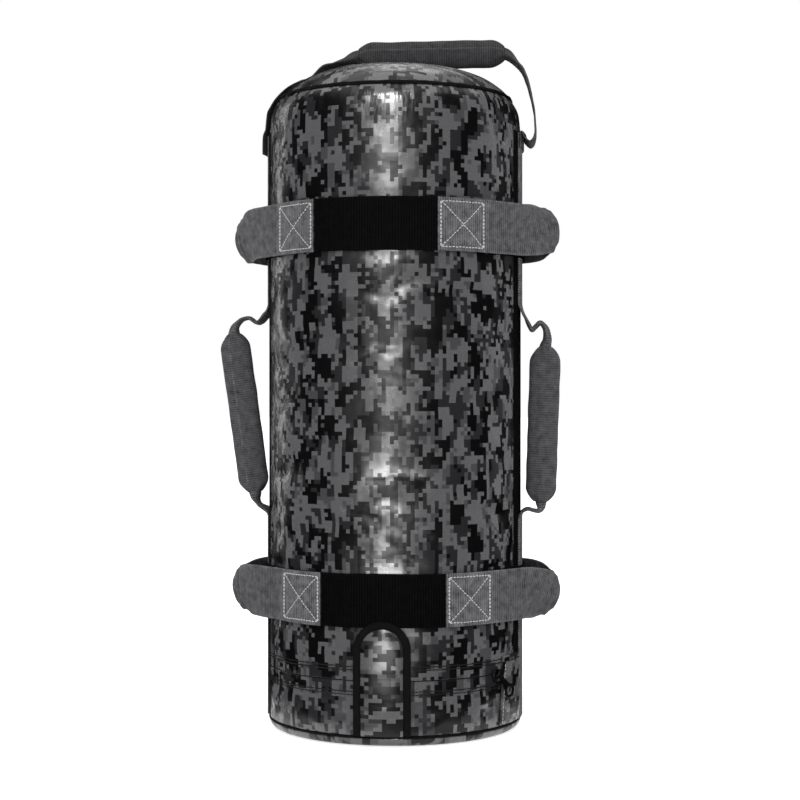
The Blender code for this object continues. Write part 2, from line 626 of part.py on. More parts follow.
def nose_path(sewn, height, rise, rise_power_share):
    """The fixed webbing from where its stitches end to the pointed nose at the swing axis."""
    lead = HANDLE_AXIS_OUT + HANDLE_NOSE_REACH - WEBBING / 4.0 - sewn
    path = []
    for share in (0.15, 0.5, 0.8, 1.0):
        out = sewn + lead * share
        path.append((out, height + rise * lead * share ** rise_power_share, nose_width(out), 0.0))
    return path


def build_side_straps():
    """The webbing sewn down both sides, with the short ends that carry the side handles."""
    sewn = BAG_RADIUS + WRAP_GAP + WEBBING / 2.0
    low = BASE_RIM_HEIGHT + 2.0 * PIPING_RADIUS + 2.0 * SEAM_GAP
    margin = 2.0 * WEBBING
    for side_name, side in (("left", -1.0), ("right", 1.0)):
        upper = nose_path(sewn, HANDLE_UPPER_SEWN_END, -1.8, 0.8)[::-1]
        upper.append((sewn, HANDLE_UPPER_SEWN_END + margin, WEBBING_WIDTH, 1.0))
        if side_name == "left":
            upper += [(sewn, STRAIGHT_TOP, WEBBING_WIDTH, 1.0), (sewn, TOP_SEWN_END, WEBBING_WIDTH, 1.0)]
        else:
            upper.append((sewn, STRAIGHT_TOP - TOP_FOLD_DROP, WEBBING_WIDTH, 1.0))
            fold = [(sewn + (TOP_FOLD_OUT - sewn) * out_share, TOP_SEWN_END - TOP_FOLD_DROP * down_share,
                     TOP_STRAP_WIDTH, 0.0) for out_share, down_share in TOP_FOLD_SHARES]
            upper += smooth_path(fold, 2)
        loft(f"side_strap_upper_{side_name}", strap_rings(upper, side), "grey_webbing")
        lower = [(sewn, low, WEBBING_WIDTH, 1.0), (sewn, HANDLE_LOWER_SEWN_END - margin, WEBBING_WIDTH, 1.0)]
        lower += nose_path(sewn, HANDLE_LOWER_SEWN_END, 0.55, 0.5)
        loft(f"side_strap_lower_{side_name}", strap_rings(lower, side), "grey_webbing")


def grip_frames(start, end, shares):
    """Places along a straight grip, with its depth direction square to it in the XZ plane."""
    start = Vector((start[0], 0.0, start[1]))
    end = Vector((end[0], 0.0, end[1]))
    along = (end - start).normalized()
    depth = Vector((-along.z, 0.0, along.x))
    return [(start.lerp(end, share), depth) for share in shares], along


def oval_ring(place, depth, half_depth, half_thickness, sides=12):
    """A flattened oval section across a grip."""
    ring = []
    for side in range(sides):
        angle = 2.0 * math.pi * side / sides
        flat = math.copysign(abs(math.cos(angle)) ** 0.75, math.cos(angle))
        ring.append(place + depth * (half_depth * flat) + Vector((0.0, half_thickness * math.sin(angle), 0.0)))
    return ring


def build_grip(name, start, end, depth_size, slot, carrier):
    """A sewn grip sleeve with a foam core on each side of the strap that runs through it."""
    length = math.hypot(end[0] - start[0], end[1] - start[1])
    shoulder = GRIP_SHOULDER / length
    shares = (0.0, shoulder * 0.5, shoulder, 0.5, 1.0 - shoulder, 1.0 - shoulder * 0.5, 1.0)
    fullness_shares = (0.0, 0.7, 1.0, 1.0, 1.0, 0.7, 0.0)
    frames, along = grip_frames(start, end, shares)
    outer = []
    inner = []
    for (place, depth), full in zip(frames, fullness_shares):
        half_depth = (GRIP_NECK_DEPTH + (depth_size - GRIP_NECK_DEPTH) * full) / 2.0
        half_thickness = GRIP_THICKNESS / 2.0
        outer.append(oval_ring(place, depth, half_depth, half_thickness))
        inner.append(oval_ring(place, depth, half_depth - GRIP_WALL, half_thickness - GRIP_WALL))
    loft(f"{name}_grip", outer + inner[::-1], slot, carrier, closed=True)

    core_shares = (1.4 * shoulder, 1.0 - 1.4 * shoulder)
    frames, along = grip_frames(start, end, core_shares)
    low = WEBBING / 2.0 + CORE_CLEARANCE
    high = (depth_size / 2.0 - GRIP_WALL) * 0.8
    edge = CORE_WIDTH / 2.0
    notch = HANDLE_INNER_WIDTH / 2.0 + CORE_CLEARANCE
    outline = ((-high, -edge * 0.45), (-high, edge * 0.45), (-low, edge), (low, edge), (high, edge * 0.45),
               (high, -edge * 0.45), (low, -edge), (low, notch), (-low, notch), (-low, -edge))
    rings = [[place + depth * reach + Vector((0.0, across, 0.0)) for reach, across in outline]
             for place, depth in frames]
    loft(f"{name}_core", rings, "handle_foam", carrier)


def fold_path(table, start_out, sewn_end, grip_end):
    """Points of a handle strap between the swing axis and an end of its grip."""
    points = [(start_out + (grip_end[0] - start_out) * out_share,
               sewn_end + (grip_end[1] - sewn_end) * way_share,
               HANDLE_END_WIDTH * width_share) for out_share, way_share, width_share in table]
    return smooth_path(points, 2)


def build_side_handles():
    """The side handles: a strap with its folds, run through a sewn grip, on a vertical swing axis."""
    for side_name, side in (("left", -1.0), ("right", 1.0)):
        place = (side * HANDLE_AXIS_OUT, 0.0, (HANDLE_UPPER_SEWN_END + HANDLE_LOWER_SEWN_END) / 2.0)
        carrier = joint_empty(f"side_handle_{side_name}_axis", place)
        top = GRIP_TOPS[side_name]
        bottom = GRIP_BOTTOMS[side_name]
        upper = fold_path(UPPER_FOLD_SHARES[side_name], HANDLE_AXIS_OUT + HANDLE_UPPER_START,
                          HANDLE_UPPER_SEWN_END, top)
        lower = fold_path(LOWER_FOLD_SHARES[side_name], HANDLE_AXIS_OUT + HANDLE_LOWER_START,
                          HANDLE_LOWER_SEWN_END, bottom)
        path = [(out, height, width, 0.0) for out, height, width in upper + lower]
        loft(f"side_handle_{side_name}_strap", strap_rings(path, side), "grey_webbing", carrier)
        build_grip(f"side_handle_{side_name}", (side * top[0], top[1]), (side * bottom[0], bottom[1]),
                   GRIP_DEPTH, "grey_webbing", carrier)


def build_top_handle():
    """The top handle: its left strap lies over the shoulder, its right one hangs in a fold."""
    carrier = joint_empty("top_handle_axis", (0.0, 0.0, TOP_GRIP_HEIGHT))
    sewn = BAG_RADIUS + WRAP_GAP + WEBBING / 2.0
    wide = TOP_STRAP_WIDTH
    start = TOP_SEWN_END + SEAM_GAP
    over = WEBBING / 2.0 + BINDING_HEIGHT + 2.0 * WRAP_GAP
    left = [(-sewn, start, wide), (-sewn, start + over, wide)]
    for share in (0.965, 0.905, 0.80, 0.66):
        radius = BAG_RADIUS * share
        left.append((-radius - over * share ** 4, shoulder_height(radius) + over, wide))
    last_out, last_height = left[-1][:2]
    for share, rise_share, width_share in ((0.48, 0.55, 0.7), (0.85, 0.95, 0.25)):
        left.append((last_out + (TOP_GRIP_LEFT - last_out) * share,
                     last_height + (TOP_GRIP_HEIGHT - last_height) * rise_share, wide * width_share))
    left.append((TOP_GRIP_LEFT, TOP_GRIP_HEIGHT, HANDLE_INNER_WIDTH))
    right = [(TOP_GRIP_RIGHT + (TOP_FOLD_OUT - TOP_GRIP_RIGHT) * out_share,
              TOP_GRIP_HEIGHT + (start - TOP_GRIP_HEIGHT) * down_share, wide * width_share)
             for out_share, down_share, width_share in TOP_RIGHT_SHARES]
    path = left[:1] + smooth_path(left[1:], 2) + smooth_path(right[:-1], 2) + right[-1:]
    path = [(out, height, width, 0.0) for out, height, width in path]
    loft("top_handle_strap", strap_rings(path, 1.0), "dark_webbing", carrier)
    build_grip("top_handle", (TOP_GRIP_LEFT, TOP_GRIP_HEIGHT), (TOP_GRIP_RIGHT, TOP_GRIP_HEIGHT),
               TOP_GRIP_DEPTH, "dark_webbing", carrier)


def build_zip():
    """Two tapes behind the slot, two rows of coil in it, and a stop at each end."""
    half = ZIP_SLOT / 2.0
    tape_inner = BAG_RADIUS - SHELL_CLOTH - WRAP_GAP - ZIP_TAPE
    coil_inner = tape_inner + ZIP_TAPE + SEAM_GAP
    stop_angle = ZIP_STOP_LENGTH / BAG_RADIUS
    margin = SEAM_GAP / BAG_RADIUS
    for row_name, row in (("upper", 1.0), ("lower", -1.0)):
        near = ZIP_HEIGHT + row * SEAM_GAP / 2.0
        heights = sorted((near, near + row * ZIP_TAPE_WIDTH))
        wrapped_panel(f"zip_tape_{row_name}",
                      [(height, ZIP_LEFT, ZIP_RIGHT, tape_inner, ZIP_TAPE) for height in heights], "zip_tape")
        heights = sorted((near, near + row * ZIP_COIL_WIDTH))
        left = ZIP_LEFT + stop_angle + 2.0 * margin
        right = ZIP_RIGHT - stop_angle - 2.0 * margin
        wrapped_panel(f"zip_coil_{row_name}",
                      [(height, left, right, coil_inner, ZIP_COIL) for height in heights], "zip_coil")
    heights = (ZIP_HEIGHT - half + SEAM_GAP, ZIP_HEIGHT + half - SEAM_GAP)
    for stop_name, left in (("left", ZIP_LEFT + margin), ("right", ZIP_RIGHT - margin - stop_angle)):
        wrapped_panel(f"zip_stop_{stop_name}",
                      [(height, left, left + stop_angle, coil_inner, ZIP_COIL) for height in heights],
                      "zip_metal")


def block(builder, middle, axes, sizes):
    """A plain block about a middle, along three directions."""
    corners = {}
    for first in (-0.5, 0.5):
        for second in (-0.5, 0.5):
            for third in (-0.5, 0.5):
                corners[first, second, third] = builder.verts.new(
                    middle + axes[0] * sizes[0] * first + axes[1] * sizes[1] * second
                    + axes[2] * sizes[2] * third)
    for place in range(3):
        for end in (-0.5, 0.5):
            face = []
            for first, second in ((-0.5, -0.5), (0.5, -0.5), (0.5, 0.5), (-0.5, 0.5)):
                key = [first, second]
                key.insert(place, end)
                face.append(corners[tuple(key)])
            builder.faces.new(face)


def slider_frame():
    """Directions at the slider: round the bag, outwards, and along and across the hanging pull."""
    outward = Vector((math.sin(SLIDER_ANGLE), -math.cos(SLIDER_ANGLE), 0.0))
    around = Vector((math.cos(SLIDER_ANGLE), math.sin(SLIDER_ANGLE), 0.0))
    up = Vector((0.0, 0.0, 1.0))
    along_pull = around * math.cos(PULL_DROOP) + up * math.sin(PULL_DROOP)
    across_pull = up * math.cos(PULL_DROOP) - around * math.sin(PULL_DROOP)
    return outward, around, up, along_pull, across_pull


def slider_place():
    body_low = BAG_RADIUS + SLIDER_GAP
    outward = slider_frame()[0]
    return outward * (body_low + SLIDER_BODY / 2.0) + Vector((0.0, 0.0, ZIP_HEIGHT))


def pull_pivot():
    """The middle of the bar that the pull hangs on."""
    outward = slider_frame()[0]
    return slider_place() + outward * (SLIDER_BODY / 2.0 + PULL_BAR_HEIGHT)


def build_slider():
    """The slider body with its two lugs and the bar between them, and the pull that hangs on the bar."""
    outward, around, up, along_pull, across_pull = slider_frame()
    carrier = joint_empty("zip_slider_axis", (0.0, 0.0, ZIP_HEIGHT))
    place = slider_place()
    builder = bmesh.new()
    rings = []
    for height, share in ((-0.5, 1.0), (0.5, 0.86)):
        ring = []
        for first, second in ((-0.5, -0.36), (-0.32, -0.5), (0.32, -0.5), (0.5, -0.36),
                              (0.5, 0.36), (0.32, 0.5), (-0.32, 0.5), (-0.5, 0.36)):
            ring.append(builder.verts.new(place + outward * (SLIDER_BODY * height)
                                          + around * (SLIDER_LENGTH * first * share)
                                          + up * (SLIDER_WIDTH * second * share)))
        rings.append(ring)
    count = len(rings[0])
    for corner in range(count):
        after = (corner + 1) % count
        builder.faces.new((rings[0][corner], rings[0][after], rings[1][after], rings[1][corner]))
    builder.faces.new(rings[0])
    builder.faces.new(rings[1][::-1])
    body = finish_object("zip_slider", builder, "zip_metal", carrier)

    pivot = pull_pivot()
    lug_height = PULL_BAR_HEIGHT + PULL_BAR_RADIUS * 2.0 + SLIDER_BODY / 2.0
    lug_middle = place + outward * (lug_height / 2.0)
    for number, end in enumerate((-1.0, 1.0)):
        lug = bmesh.new()
        offset = across_pull * (end * (SLIDER_LUG_SPAN + SLIDER_LUG) / 2.0)
        block(lug, lug_middle + offset, (across_pull, along_pull, outward),
              (SLIDER_LUG, SLIDER_LUG_LENGTH, lug_height))
        join_shape(body, f"slider_lug_{number + 1}", lug)
    bar = bmesh.new()
    rod(bar, pivot, across_pull, PULL_BAR_RADIUS, SLIDER_LUG_SPAN + SLIDER_LUG)
    join_shape(body, "slider_bar", bar)
    build_pull(pivot, along_pull, across_pull, outward, carrier)


def rod(builder, middle, along, radius, length, sides=10):
    """A round rod about a middle."""
    turn = Vector((0.0, 0.0, 1.0)).rotation_difference(along).to_matrix().to_4x4()
    bmesh.ops.create_cone(builder, cap_ends=True, segments=sides, radius1=radius, radius2=radius,
                          depth=length, matrix=Matrix.Translation(middle) @ turn)


def join_shape(body, name, builder, operation="UNION"):
    """Join a hidden helper shape to a body, or cut it away."""
    helper = finish_object(name, builder, "zip_metal")
    helper.hide_render = True
    helper.display_type = "WIRE"
    step = body.modifiers.new(name, "BOOLEAN")
    step.operation = operation
    step.solver = "EXACT"
    step.object = helper


def build_pull(pivot, along, across, outward, slider_carrier):
    """A flat pull with an eye round the bar and a round end with a small hole."""
    carrier = joint_empty("zip_pull_axis", pivot)
    carrier.parent = slider_carrier
    carrier.matrix_parent_inverse = slider_carrier.matrix_world.inverted()
    bpy.context.view_layer.update()
    ring_middle = PULL_LENGTH - PULL_RING_RADIUS
    neck_half = SLIDER_LUG_SPAN / 2.0 - SEAM_GAP
    outline = [(0.0, neck_half), (SLIDER_LUG_LENGTH, neck_half), (ring_middle / 2.0, PULL_WIDTH / 2.0)]
    for step in range(9):
        angle = PULL_RING_TURN * (1.0 - step / 4.0)
        outline.append((ring_middle + PULL_RING_RADIUS * math.cos(angle), PULL_RING_RADIUS * math.sin(angle)))
    outline += [(reach, -side) for reach, side in outline[2::-1]]
    builder = bmesh.new()
    faces = []
    for height in (-0.5, 0.5):
        faces.append([builder.verts.new(pivot + along * reach + across * side
                                        + outward * (PULL_THICKNESS * height)) for reach, side in outline])
    count = len(outline)
    for corner in range(count):
        after = (corner + 1) % count
        builder.faces.new((faces[0][corner], faces[0][after], faces[1][after], faces[1][corner]))
    builder.faces.new(faces[0][::-1])
    builder.faces.new(faces[1])
    pull = finish_object("zip_pull", builder, "zip_metal", carrier)
    eye = bmesh.new()
    rod(eye, pivot, across, PULL_EYE_OUTER, 2.0 * neck_half)
    join_shape(pull, "pull_eye", eye)
    bore = bmesh.new()
    rod(bore, pivot, across, PULL_EYE_RADIUS, 3.0 * neck_half)
    join_shape(pull, "pull_bore", bore, "DIFFERENCE")
    hole = bmesh.new()
    rod(hole, pivot + along * ring_middle, outward, PULL_RING_HOLE, 3.0 * PULL_THICKNESS)
    join_shape(pull, "pull_hole", hole, "DIFFERENCE")


def build_end_patch():
    """The cloth patch that covers the right end of the zip, up to the side strap."""
    low = BASE_RIM_HEIGHT + 2.0 * PIPING_RADIUS + 2.0 * SEAM_GAP
    right = SIDE_STRAP_ANGLE - WEBBING_WIDTH / 2.0 / BAG_RADIUS - SEAM_GAP / BAG_RADIUS
    inner = BAG_RADIUS + WRAP_GAP
    wrapped_panel("zip_end_patch", [(low, END_PATCH_LOWER_LEFT, right, inner, END_PATCH_CLOTH),
                                    (END_PATCH_TOP, END_PATCH_UPPER_LEFT, right, inner, END_PATCH_CLOTH)],
                  "camo_cloth")


def flap_radius(height):
    """Inner radius of the flap, which leans out from the base seam to clear the band."""
    share = min(1.0, max(0.0, (height - FLAP_BOTTOM) / (FLAP_SLOPE_TOP - FLAP_BOTTOM)))
    return FLAP_BASE_RADIUS + (FLAP_FACE_RADIUS - FLAP_BASE_RADIUS) * share


def build_flap():
    """The flap over the zip: cloth, bound edge and hook strip, and the loop patch on the bag."""
    axis_out = FLAP_BASE_RADIUS + FLAP_CLOTH / 2.0
    carrier = joint_empty("flap_axis", (0.0, -axis_out, FLAP_BOTTOM))
    half = FLAP_WIDTH / 2.0 - FLAP_BINDING / 2.0 - SEAM_GAP
    middle = FLAP_TOP - FLAP_WIDTH / 2.0
    half_panel = half - FLAP_BINDING / 2.0 - 2.0 * SEAM_GAP
    rows = [(FLAP_BOTTOM, half_panel), (FLAP_SLOPE_TOP, half_panel), (middle, half_panel)]
    for share in (0.35, 0.62, 0.82, 0.95):
        rows.append((middle + half_panel * share, half_panel * math.sqrt(1.0 - share ** 2)))
    panel_rows = []
    for height, width in rows:
        inner = flap_radius(height)
        panel_rows.append((height, -width / inner, width / inner, inner, FLAP_CLOTH))
    wrapped_panel("flap_panel", panel_rows, "camo_cloth", carrier)

    centre = [(-half, FLAP_BOTTOM), (-half, FLAP_SLOPE_TOP), (-half, middle)]
    steps = 10
    for step in range(1, steps):
        angle = math.pi * (1.0 - step / steps)
        centre.append((half * math.cos(angle), middle + half * math.sin(angle)))
    centre += [(half, middle), (half, FLAP_SLOPE_TOP), (half, FLAP_BOTTOM)]
    rings = []
    for place, (across, height) in enumerate(centre):
        before = centre[max(0, place - 1)]
        after = centre[min(len(centre) - 1, place + 1)]
        along = Vector((after[0] - before[0], after[1] - before[1])).normalized()
        edge = Vector((-along.y, along.x)) * (FLAP_BINDING / 2.0)
        ring = []
        for direction, lift in ((1.0, 0.0), (1.0, FLAP_BINDING_CLOTH), (-1.0, FLAP_BINDING_CLOTH), (-1.0, 0.0)):
            side = across + direction * edge.x
            level = height + direction * edge.y
            radius = flap_radius(level)
            ring.append(on_bag(side / radius, radius + lift, level))
        rings.append(ring)
    loft("flap_binding", rings, "seam_binding", carrier)

    strip = HOOK_STRIP_WIDTH / 2.0 / BAG_RADIUS
    hook_inner = FLAP_FACE_RADIUS - SEAM_GAP - HOOK_STRIP_CLOTH
    wrapped_panel("flap_hook_strip", [(HOOK_STRIP_LOW, -strip, strip, hook_inner, HOOK_STRIP_CLOTH),
                                      (HOOK_STRIP_HIGH, -strip, strip, hook_inner, HOOK_STRIP_CLOTH)],
                  "hook_and_loop", carrier)
    patch_inner = BAG_RADIUS + WRAP_GAP
    patch_cloth = hook_inner - SEAM_GAP - patch_inner
    wrapped_panel("flap_loop_patch", [(HOOK_STRIP_LOW, -strip, strip, patch_inner, patch_cloth),
                                      (HOOK_STRIP_HIGH, -strip, strip, patch_inner, patch_cloth)],
                  "hook_and_loop")


def main():
    clear_scene()
    build_shell()
    build_seams()
    build_liner()
    build_sand_bags()
    build_bands()
    build_loops()
    build_side_straps()
    build_side_handles()
    build_top_handle()
    build_zip()
    build_slider()
    build_end_patch()
    build_flap()


main()
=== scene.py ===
# %% [markdown]
# # Dressing a sandbag trainer
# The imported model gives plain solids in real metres: a round bag 250 mm across and 650 mm high, its
# webbing, handles, zip and flap. This lesson keeps every solid where it is and dresses it, so that
# cloth looks like cloth and webbing like webbing. Each step first says what the real piece is.

# %% Load the frame
import json
from contextlib import contextmanager
from math import acos, atan2, ceil, copysign, cos, degrees, exp, hypot, pi, radians, remainder
from math import sin, sqrt, tan, tau

import bmesh
import bpy
import numpy as np
from mathutils import Matrix, Vector, noise

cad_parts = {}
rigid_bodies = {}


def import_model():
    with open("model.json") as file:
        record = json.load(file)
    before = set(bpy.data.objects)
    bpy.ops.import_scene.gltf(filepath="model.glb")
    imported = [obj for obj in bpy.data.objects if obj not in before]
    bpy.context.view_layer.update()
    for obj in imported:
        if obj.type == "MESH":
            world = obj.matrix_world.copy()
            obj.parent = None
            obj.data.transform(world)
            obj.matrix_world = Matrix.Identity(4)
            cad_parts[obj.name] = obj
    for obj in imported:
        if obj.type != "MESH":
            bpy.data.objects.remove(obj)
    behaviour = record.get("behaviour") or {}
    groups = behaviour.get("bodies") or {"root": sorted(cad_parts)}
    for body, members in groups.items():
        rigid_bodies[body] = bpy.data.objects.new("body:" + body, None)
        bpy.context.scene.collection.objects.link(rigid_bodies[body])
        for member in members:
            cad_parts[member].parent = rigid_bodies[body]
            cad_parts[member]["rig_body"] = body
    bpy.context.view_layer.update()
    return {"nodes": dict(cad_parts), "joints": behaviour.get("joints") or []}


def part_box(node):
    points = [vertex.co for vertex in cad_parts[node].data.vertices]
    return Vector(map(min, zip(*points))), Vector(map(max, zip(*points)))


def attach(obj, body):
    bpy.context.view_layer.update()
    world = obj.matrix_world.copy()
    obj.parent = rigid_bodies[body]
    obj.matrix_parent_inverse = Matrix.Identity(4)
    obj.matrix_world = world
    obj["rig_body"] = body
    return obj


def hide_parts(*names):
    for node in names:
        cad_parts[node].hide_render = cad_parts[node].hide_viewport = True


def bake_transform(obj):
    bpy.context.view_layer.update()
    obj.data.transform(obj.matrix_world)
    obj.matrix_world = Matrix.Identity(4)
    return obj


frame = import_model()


# %% Object helpers
def add_object(name, data):
    """Put a mesh, lamp or camera in the scene."""
    thing = bpy.data.objects.new(name, data)
    bpy.context.scene.collection.objects.link(thing)
    return thing


def on_bag(angle, radius, height):
    """A point at an angle from the front, counted towards +X, at a radius and a height."""
    return (radius * sin(angle), -radius * cos(angle), height)


FACE_CORNERS = ((0, 0), (0, 1), (1, 1), (1, 0))


def quads(rows, count, at=None, closed=False, first=0, skip=None):
    """Faces between closed rings of points, and their corners on a flat map. `at` gives the map's
    place of a row and column. It is also asked one column and one row past the last."""
    faces, corners = [], []
    for row in range(rows if closed else rows - 1):
        for column in range(count):
            if skip and skip(row, column):
                continue
            after, after_row = (column + 1) % count, (row + 1) % rows
            faces.append((first + row * count + column, first + row * count + after,
                          first + after_row * count + after, first + after_row * count + column))
            if at:
                corners += [at(row + down, column + aside) for down, aside in FACE_CORNERS]
    return faces, corners


# %% [markdown]
# ## Camera and studio
# The photograph was taken from about 1.7 m, level with the middle of the bag and a little to its
# right. A 36 mm sensor with a 76.5 mm lens gives 1700 px of focal length on an 800 px picture. The
# bag stands 5 px left of the middle, which a small lens shift gives without turning the camera.

# %% Camera
MM = 0.001
CAMERA_AZIMUTH = radians(5.6)
CAMERA_DISTANCE = 1.70
EYE_LEVEL = 0.322

view = bpy.data.cameras.new("photo_camera")
view.sensor_width, view.lens, view.shift_x = 36.0, 76.5, 5.0 / 800.0
camera = add_object("photo_camera", view)
away = Vector(on_bag(CAMERA_AZIMUTH, 1.0, 0.0))
camera.location = away * CAMERA_DISTANCE + Vector((0.0, 0.0, EYE_LEVEL))
camera.rotation_euler = (-away).to_track_quat("-Z", "Y").to_euler()
bpy.context.scene.camera = camera
bpy.context.scene.view_settings.view_transform = "Standard"
print("camera at", [round(value, 3) for value in camera.location])

# %% [markdown]
# A material is easier to read when sums look like sums. A `Signal` is one output of a node, and
# arithmetic on it adds Math nodes to its tree. `put` adds any other node, and `get` gives its output.


# %% Node helpers
class Signal:
    """A node's output. Sums, differences, products and quotients of it are Math nodes."""

    def __init__(self, socket):
        self.socket, self.tree = socket, socket.id_data

    def __add__(self, other):
        return calc("ADD", self, other)

    def __radd__(self, other):
        return calc("ADD", other, self)

    def __sub__(self, other):
        return calc("SUBTRACT", self, other)

    def __rsub__(self, other):
        return calc("SUBTRACT", other, self)

    def __mul__(self, other):
        return calc("MULTIPLY", self, other)

    def __rtruediv__(self, other):
        return calc("DIVIDE", other, self)


def feed(node, inputs):
    """Give inputs, by name or number, a number, a colour or another node's output."""
    for key, value in inputs.items():
        if isinstance(value, Signal):
            node.id_data.links.new(value.socket, node.inputs[key])
        else:
            node.inputs[key].default_value = value
    return node


def put(tree, kind, inputs={}, **settings):
    """Add a node, and set its properties and inputs."""
    node = tree.nodes.new(kind)
    for key, value in settings.items():
        setattr(node, key, value)
    return feed(node, inputs)


def get(tree, kind, inputs={}, output=0, **settings):
    return Signal(put(tree, kind, inputs, **settings).outputs[output])


def calc(operation, *values, kind="ShaderNodeMath"):
    tree = next(value.tree for value in values if isinstance(value, Signal))
    return get(tree, kind, dict(enumerate(values)), operation=operation)


def vector_calc(operation, *values):
    return calc(operation, *values, kind="ShaderNodeVectorMath")


def scaled(color, share):
    """A colour made lighter or darker by a signal."""
    return get(share.tree, "ShaderNodeVectorMath", {0: color, "Scale": share}, operation="SCALE")


def blend_colors(share, first, second):
    return get(share.tree, "ShaderNodeMix", {0: share, 6: first, 7: second}, 2, data_type="RGBA")


def ramp(value, low, high):
    """0 below low, 1 above high, and smooth between them."""
    return get(value.tree, "ShaderNodeMapRange", {"Value": value, "From Min": low, "From Max": high},
               interpolation_type="SMOOTHSTEP")


def noise_value(vector, scale, detail=2.0, roughness=0.5):
    return get(vector.tree, "ShaderNodeTexNoise",
               {"Vector": vector, "Scale": scale, "Detail": detail, "Roughness": roughness}, "Fac")


def split(vector):
    return [Signal(socket) for socket in put(vector.tree, "ShaderNodeSeparateXYZ", {0: vector}).outputs]


def start_material(name, roughness, specular=0.5, metallic=0.0):
    material = bpy.data.materials.new(name)
    material.use_nodes = True
    shader = material.node_tree.nodes["Principled BSDF"]
    feed(shader, {"Roughness": roughness, "Specular IOR Level": specular, "Metallic": metallic})
    return material, material.node_tree, shader


def gray(level, blue=1.0):
    """A near-neutral colour from its level in an sRGB picture, 0 to 255, as the shader's linear value."""
    share = level / 255.0
    linear = share / 12.92 if share <= 0.04045 else ((share + 0.055) / 1.055) ** 2.4
    return (linear, linear, linear * blue, 1.0)


# %% [markdown]
# The picture has a pure white ground. Here the floor is really white and takes the bag's shadow. For
# the rays that the camera sees directly or in a gloss, it glows a little, and the world behind it is
# plain white, so that floor and background meet without a line. Light on the bag stays plain.

# %% White ground
GLOW = 0.64
FLOOR_REACH = 30.0


def sees_ground(tree):
    """1 for rays from the camera, and for those that a gloss or glass sends on."""
    ray = put(tree, "ShaderNodeLightPath").outputs
    gloss = calc("MAXIMUM", Signal(ray["Is Glossy Ray"]), Signal(ray["Is Transmission Ray"]))
    return calc("MAXIMUM", Signal(ray["Is Camera Ray"]), gloss)


def either(tree, first, second):
    """The second shader where the ground is seen, and the first for light on the bag."""
    return get(tree, "ShaderNodeMixShader", {0: sees_ground(tree), 1: first, 2: second})


world = bpy.data.worlds.new("white_studio")
bpy.context.scene.world = world
world.use_nodes = True
tree = world.node_tree
tree.nodes.clear()
plain_light = get(tree, "ShaderNodeBackground", {"Color": (0.82, 0.82, 0.83, 1.0)})
white_ground = get(tree, "ShaderNodeBackground", {"Color": (1.0, 1.0, 1.0, 1.0)})
put(tree, "ShaderNodeOutputWorld", {"Surface": either(tree, plain_light, white_ground)})

floor_paint, tree, shader = start_material("white_floor", 0.9, 0.1)
feed(shader, {"Base Color": (0.86, 0.86, 0.86, 1.0)})
no_glow, glow = [get(tree, "ShaderNodeEmission", {"Strength": strength}) for strength in (0.0, GLOW)]
both = get(tree, "ShaderNodeAddShader", {0: Signal(shader.outputs[0]), 1: either(tree, no_glow, glow)})
feed(tree.nodes["Material Output"], {"Surface": both})

floor_mesh = bpy.data.meshes.new("studio_floor")
floor_corners = ((-1.0, -1.0), (1.0, -1.0), (1.0, 1.0), (-1.0, 1.0))
floor_mesh.from_pydata([(x * FLOOR_REACH, y * FLOOR_REACH, 0.0) for x, y in floor_corners], [],
                       [(0, 1, 2, 3)])
floor_mesh.materials.append(floor_paint)
add_object("studio_floor", floor_mesh)
print("floor", 2.0 * FLOOR_REACH, "m wide")

# %% [markdown]
# Coated cloth is told by its reflections. A row of soft lights in front, from the floor to above the
# camera, draws the bright stripe down the middle of the bag, and narrow ones far round to the sides
# draw the pale lines inside its edges. A photographer shades such lights so that they are seen in
# the gloss but hardly brighten the cloth, and fills the shadows with broad ones that the gloss
# doesn't show. A lamp's ray visibility does both. Between its lights a studio hangs dark cloths, so
# that the gloss stays deep. Here a dark screen stands round the set and a dark mat lies round the
# bag. They are seen in glosses alone, so the camera still sees white floor and background.

# %% Lights
SOFT_LIGHTS = (  # name, kind, degrees from the front, distance, height, width, tall, watts, height aimed at
    ("front_stripe_light", "gloss", 0.0, 2.1, 1.20, 0.56, 0.9, 25.0, 0.45),
    ("front_low_light", "gloss", 0.0, 2.1, 0.38, 0.50, 0.7, 2.2, 0.38),
    ("front_high_light", "gloss", 0.0, 1.7, 2.0, 0.56, 0.9, 52.0, 0.60),
    ("front_floor_light", "gloss", 0.0, 1.15, 0.02, 0.24, 1.5, 17.0, 0.33),
    ("left_edge_light", "gloss", -120.0, 1.6, 0.70, 0.12, 1.3, 2.2, 0.33),
    ("right_edge_light", "gloss", 115.0, 2.0, 0.70, 0.30, 1.3, 0.5, 0.33),
    ("rear_high_light", "gloss", 180.0, 1.5, 2.2, 0.80, 0.8, 3.0, 0.60),
    ("left_fill_light", "fill", -125.0, 1.6, 0.50, 0.80, 1.2, 12.0, 0.33),
    ("right_fill_light", "fill", 115.0, 1.8, 0.50, 0.80, 1.2, 11.0, 0.33),
    ("overhead_light", "fill", 0.0, 0.35, 2.3, 1.6, 1.6, 9.0, 0.33))
for name, kind, azimuth, distance, height, width, tall, watts, aim in SOFT_LIGHTS:
    lamp = bpy.data.lights.new(name, "AREA")
    lamp.shape = "RECTANGLE"
    lamp.size, lamp.size_y, lamp.energy = width, tall, watts
    carrier = add_object(name, lamp)
    carrier.location = on_bag(radians(azimuth), distance, height)
    towards = Vector((0.0, 0.0, aim)) - carrier.location
    carrier.rotation_euler = towards.to_track_quat("-Z", "Y").to_euler()
    carrier.visible_camera = False
    carrier.visible_diffuse = kind != "gloss"
    carrier.visible_glossy = kind != "fill"
bpy.data.objects["front_floor_light"].rotation_euler = (pi, 0.0, 0.0)  # it lies on the floor and shines up
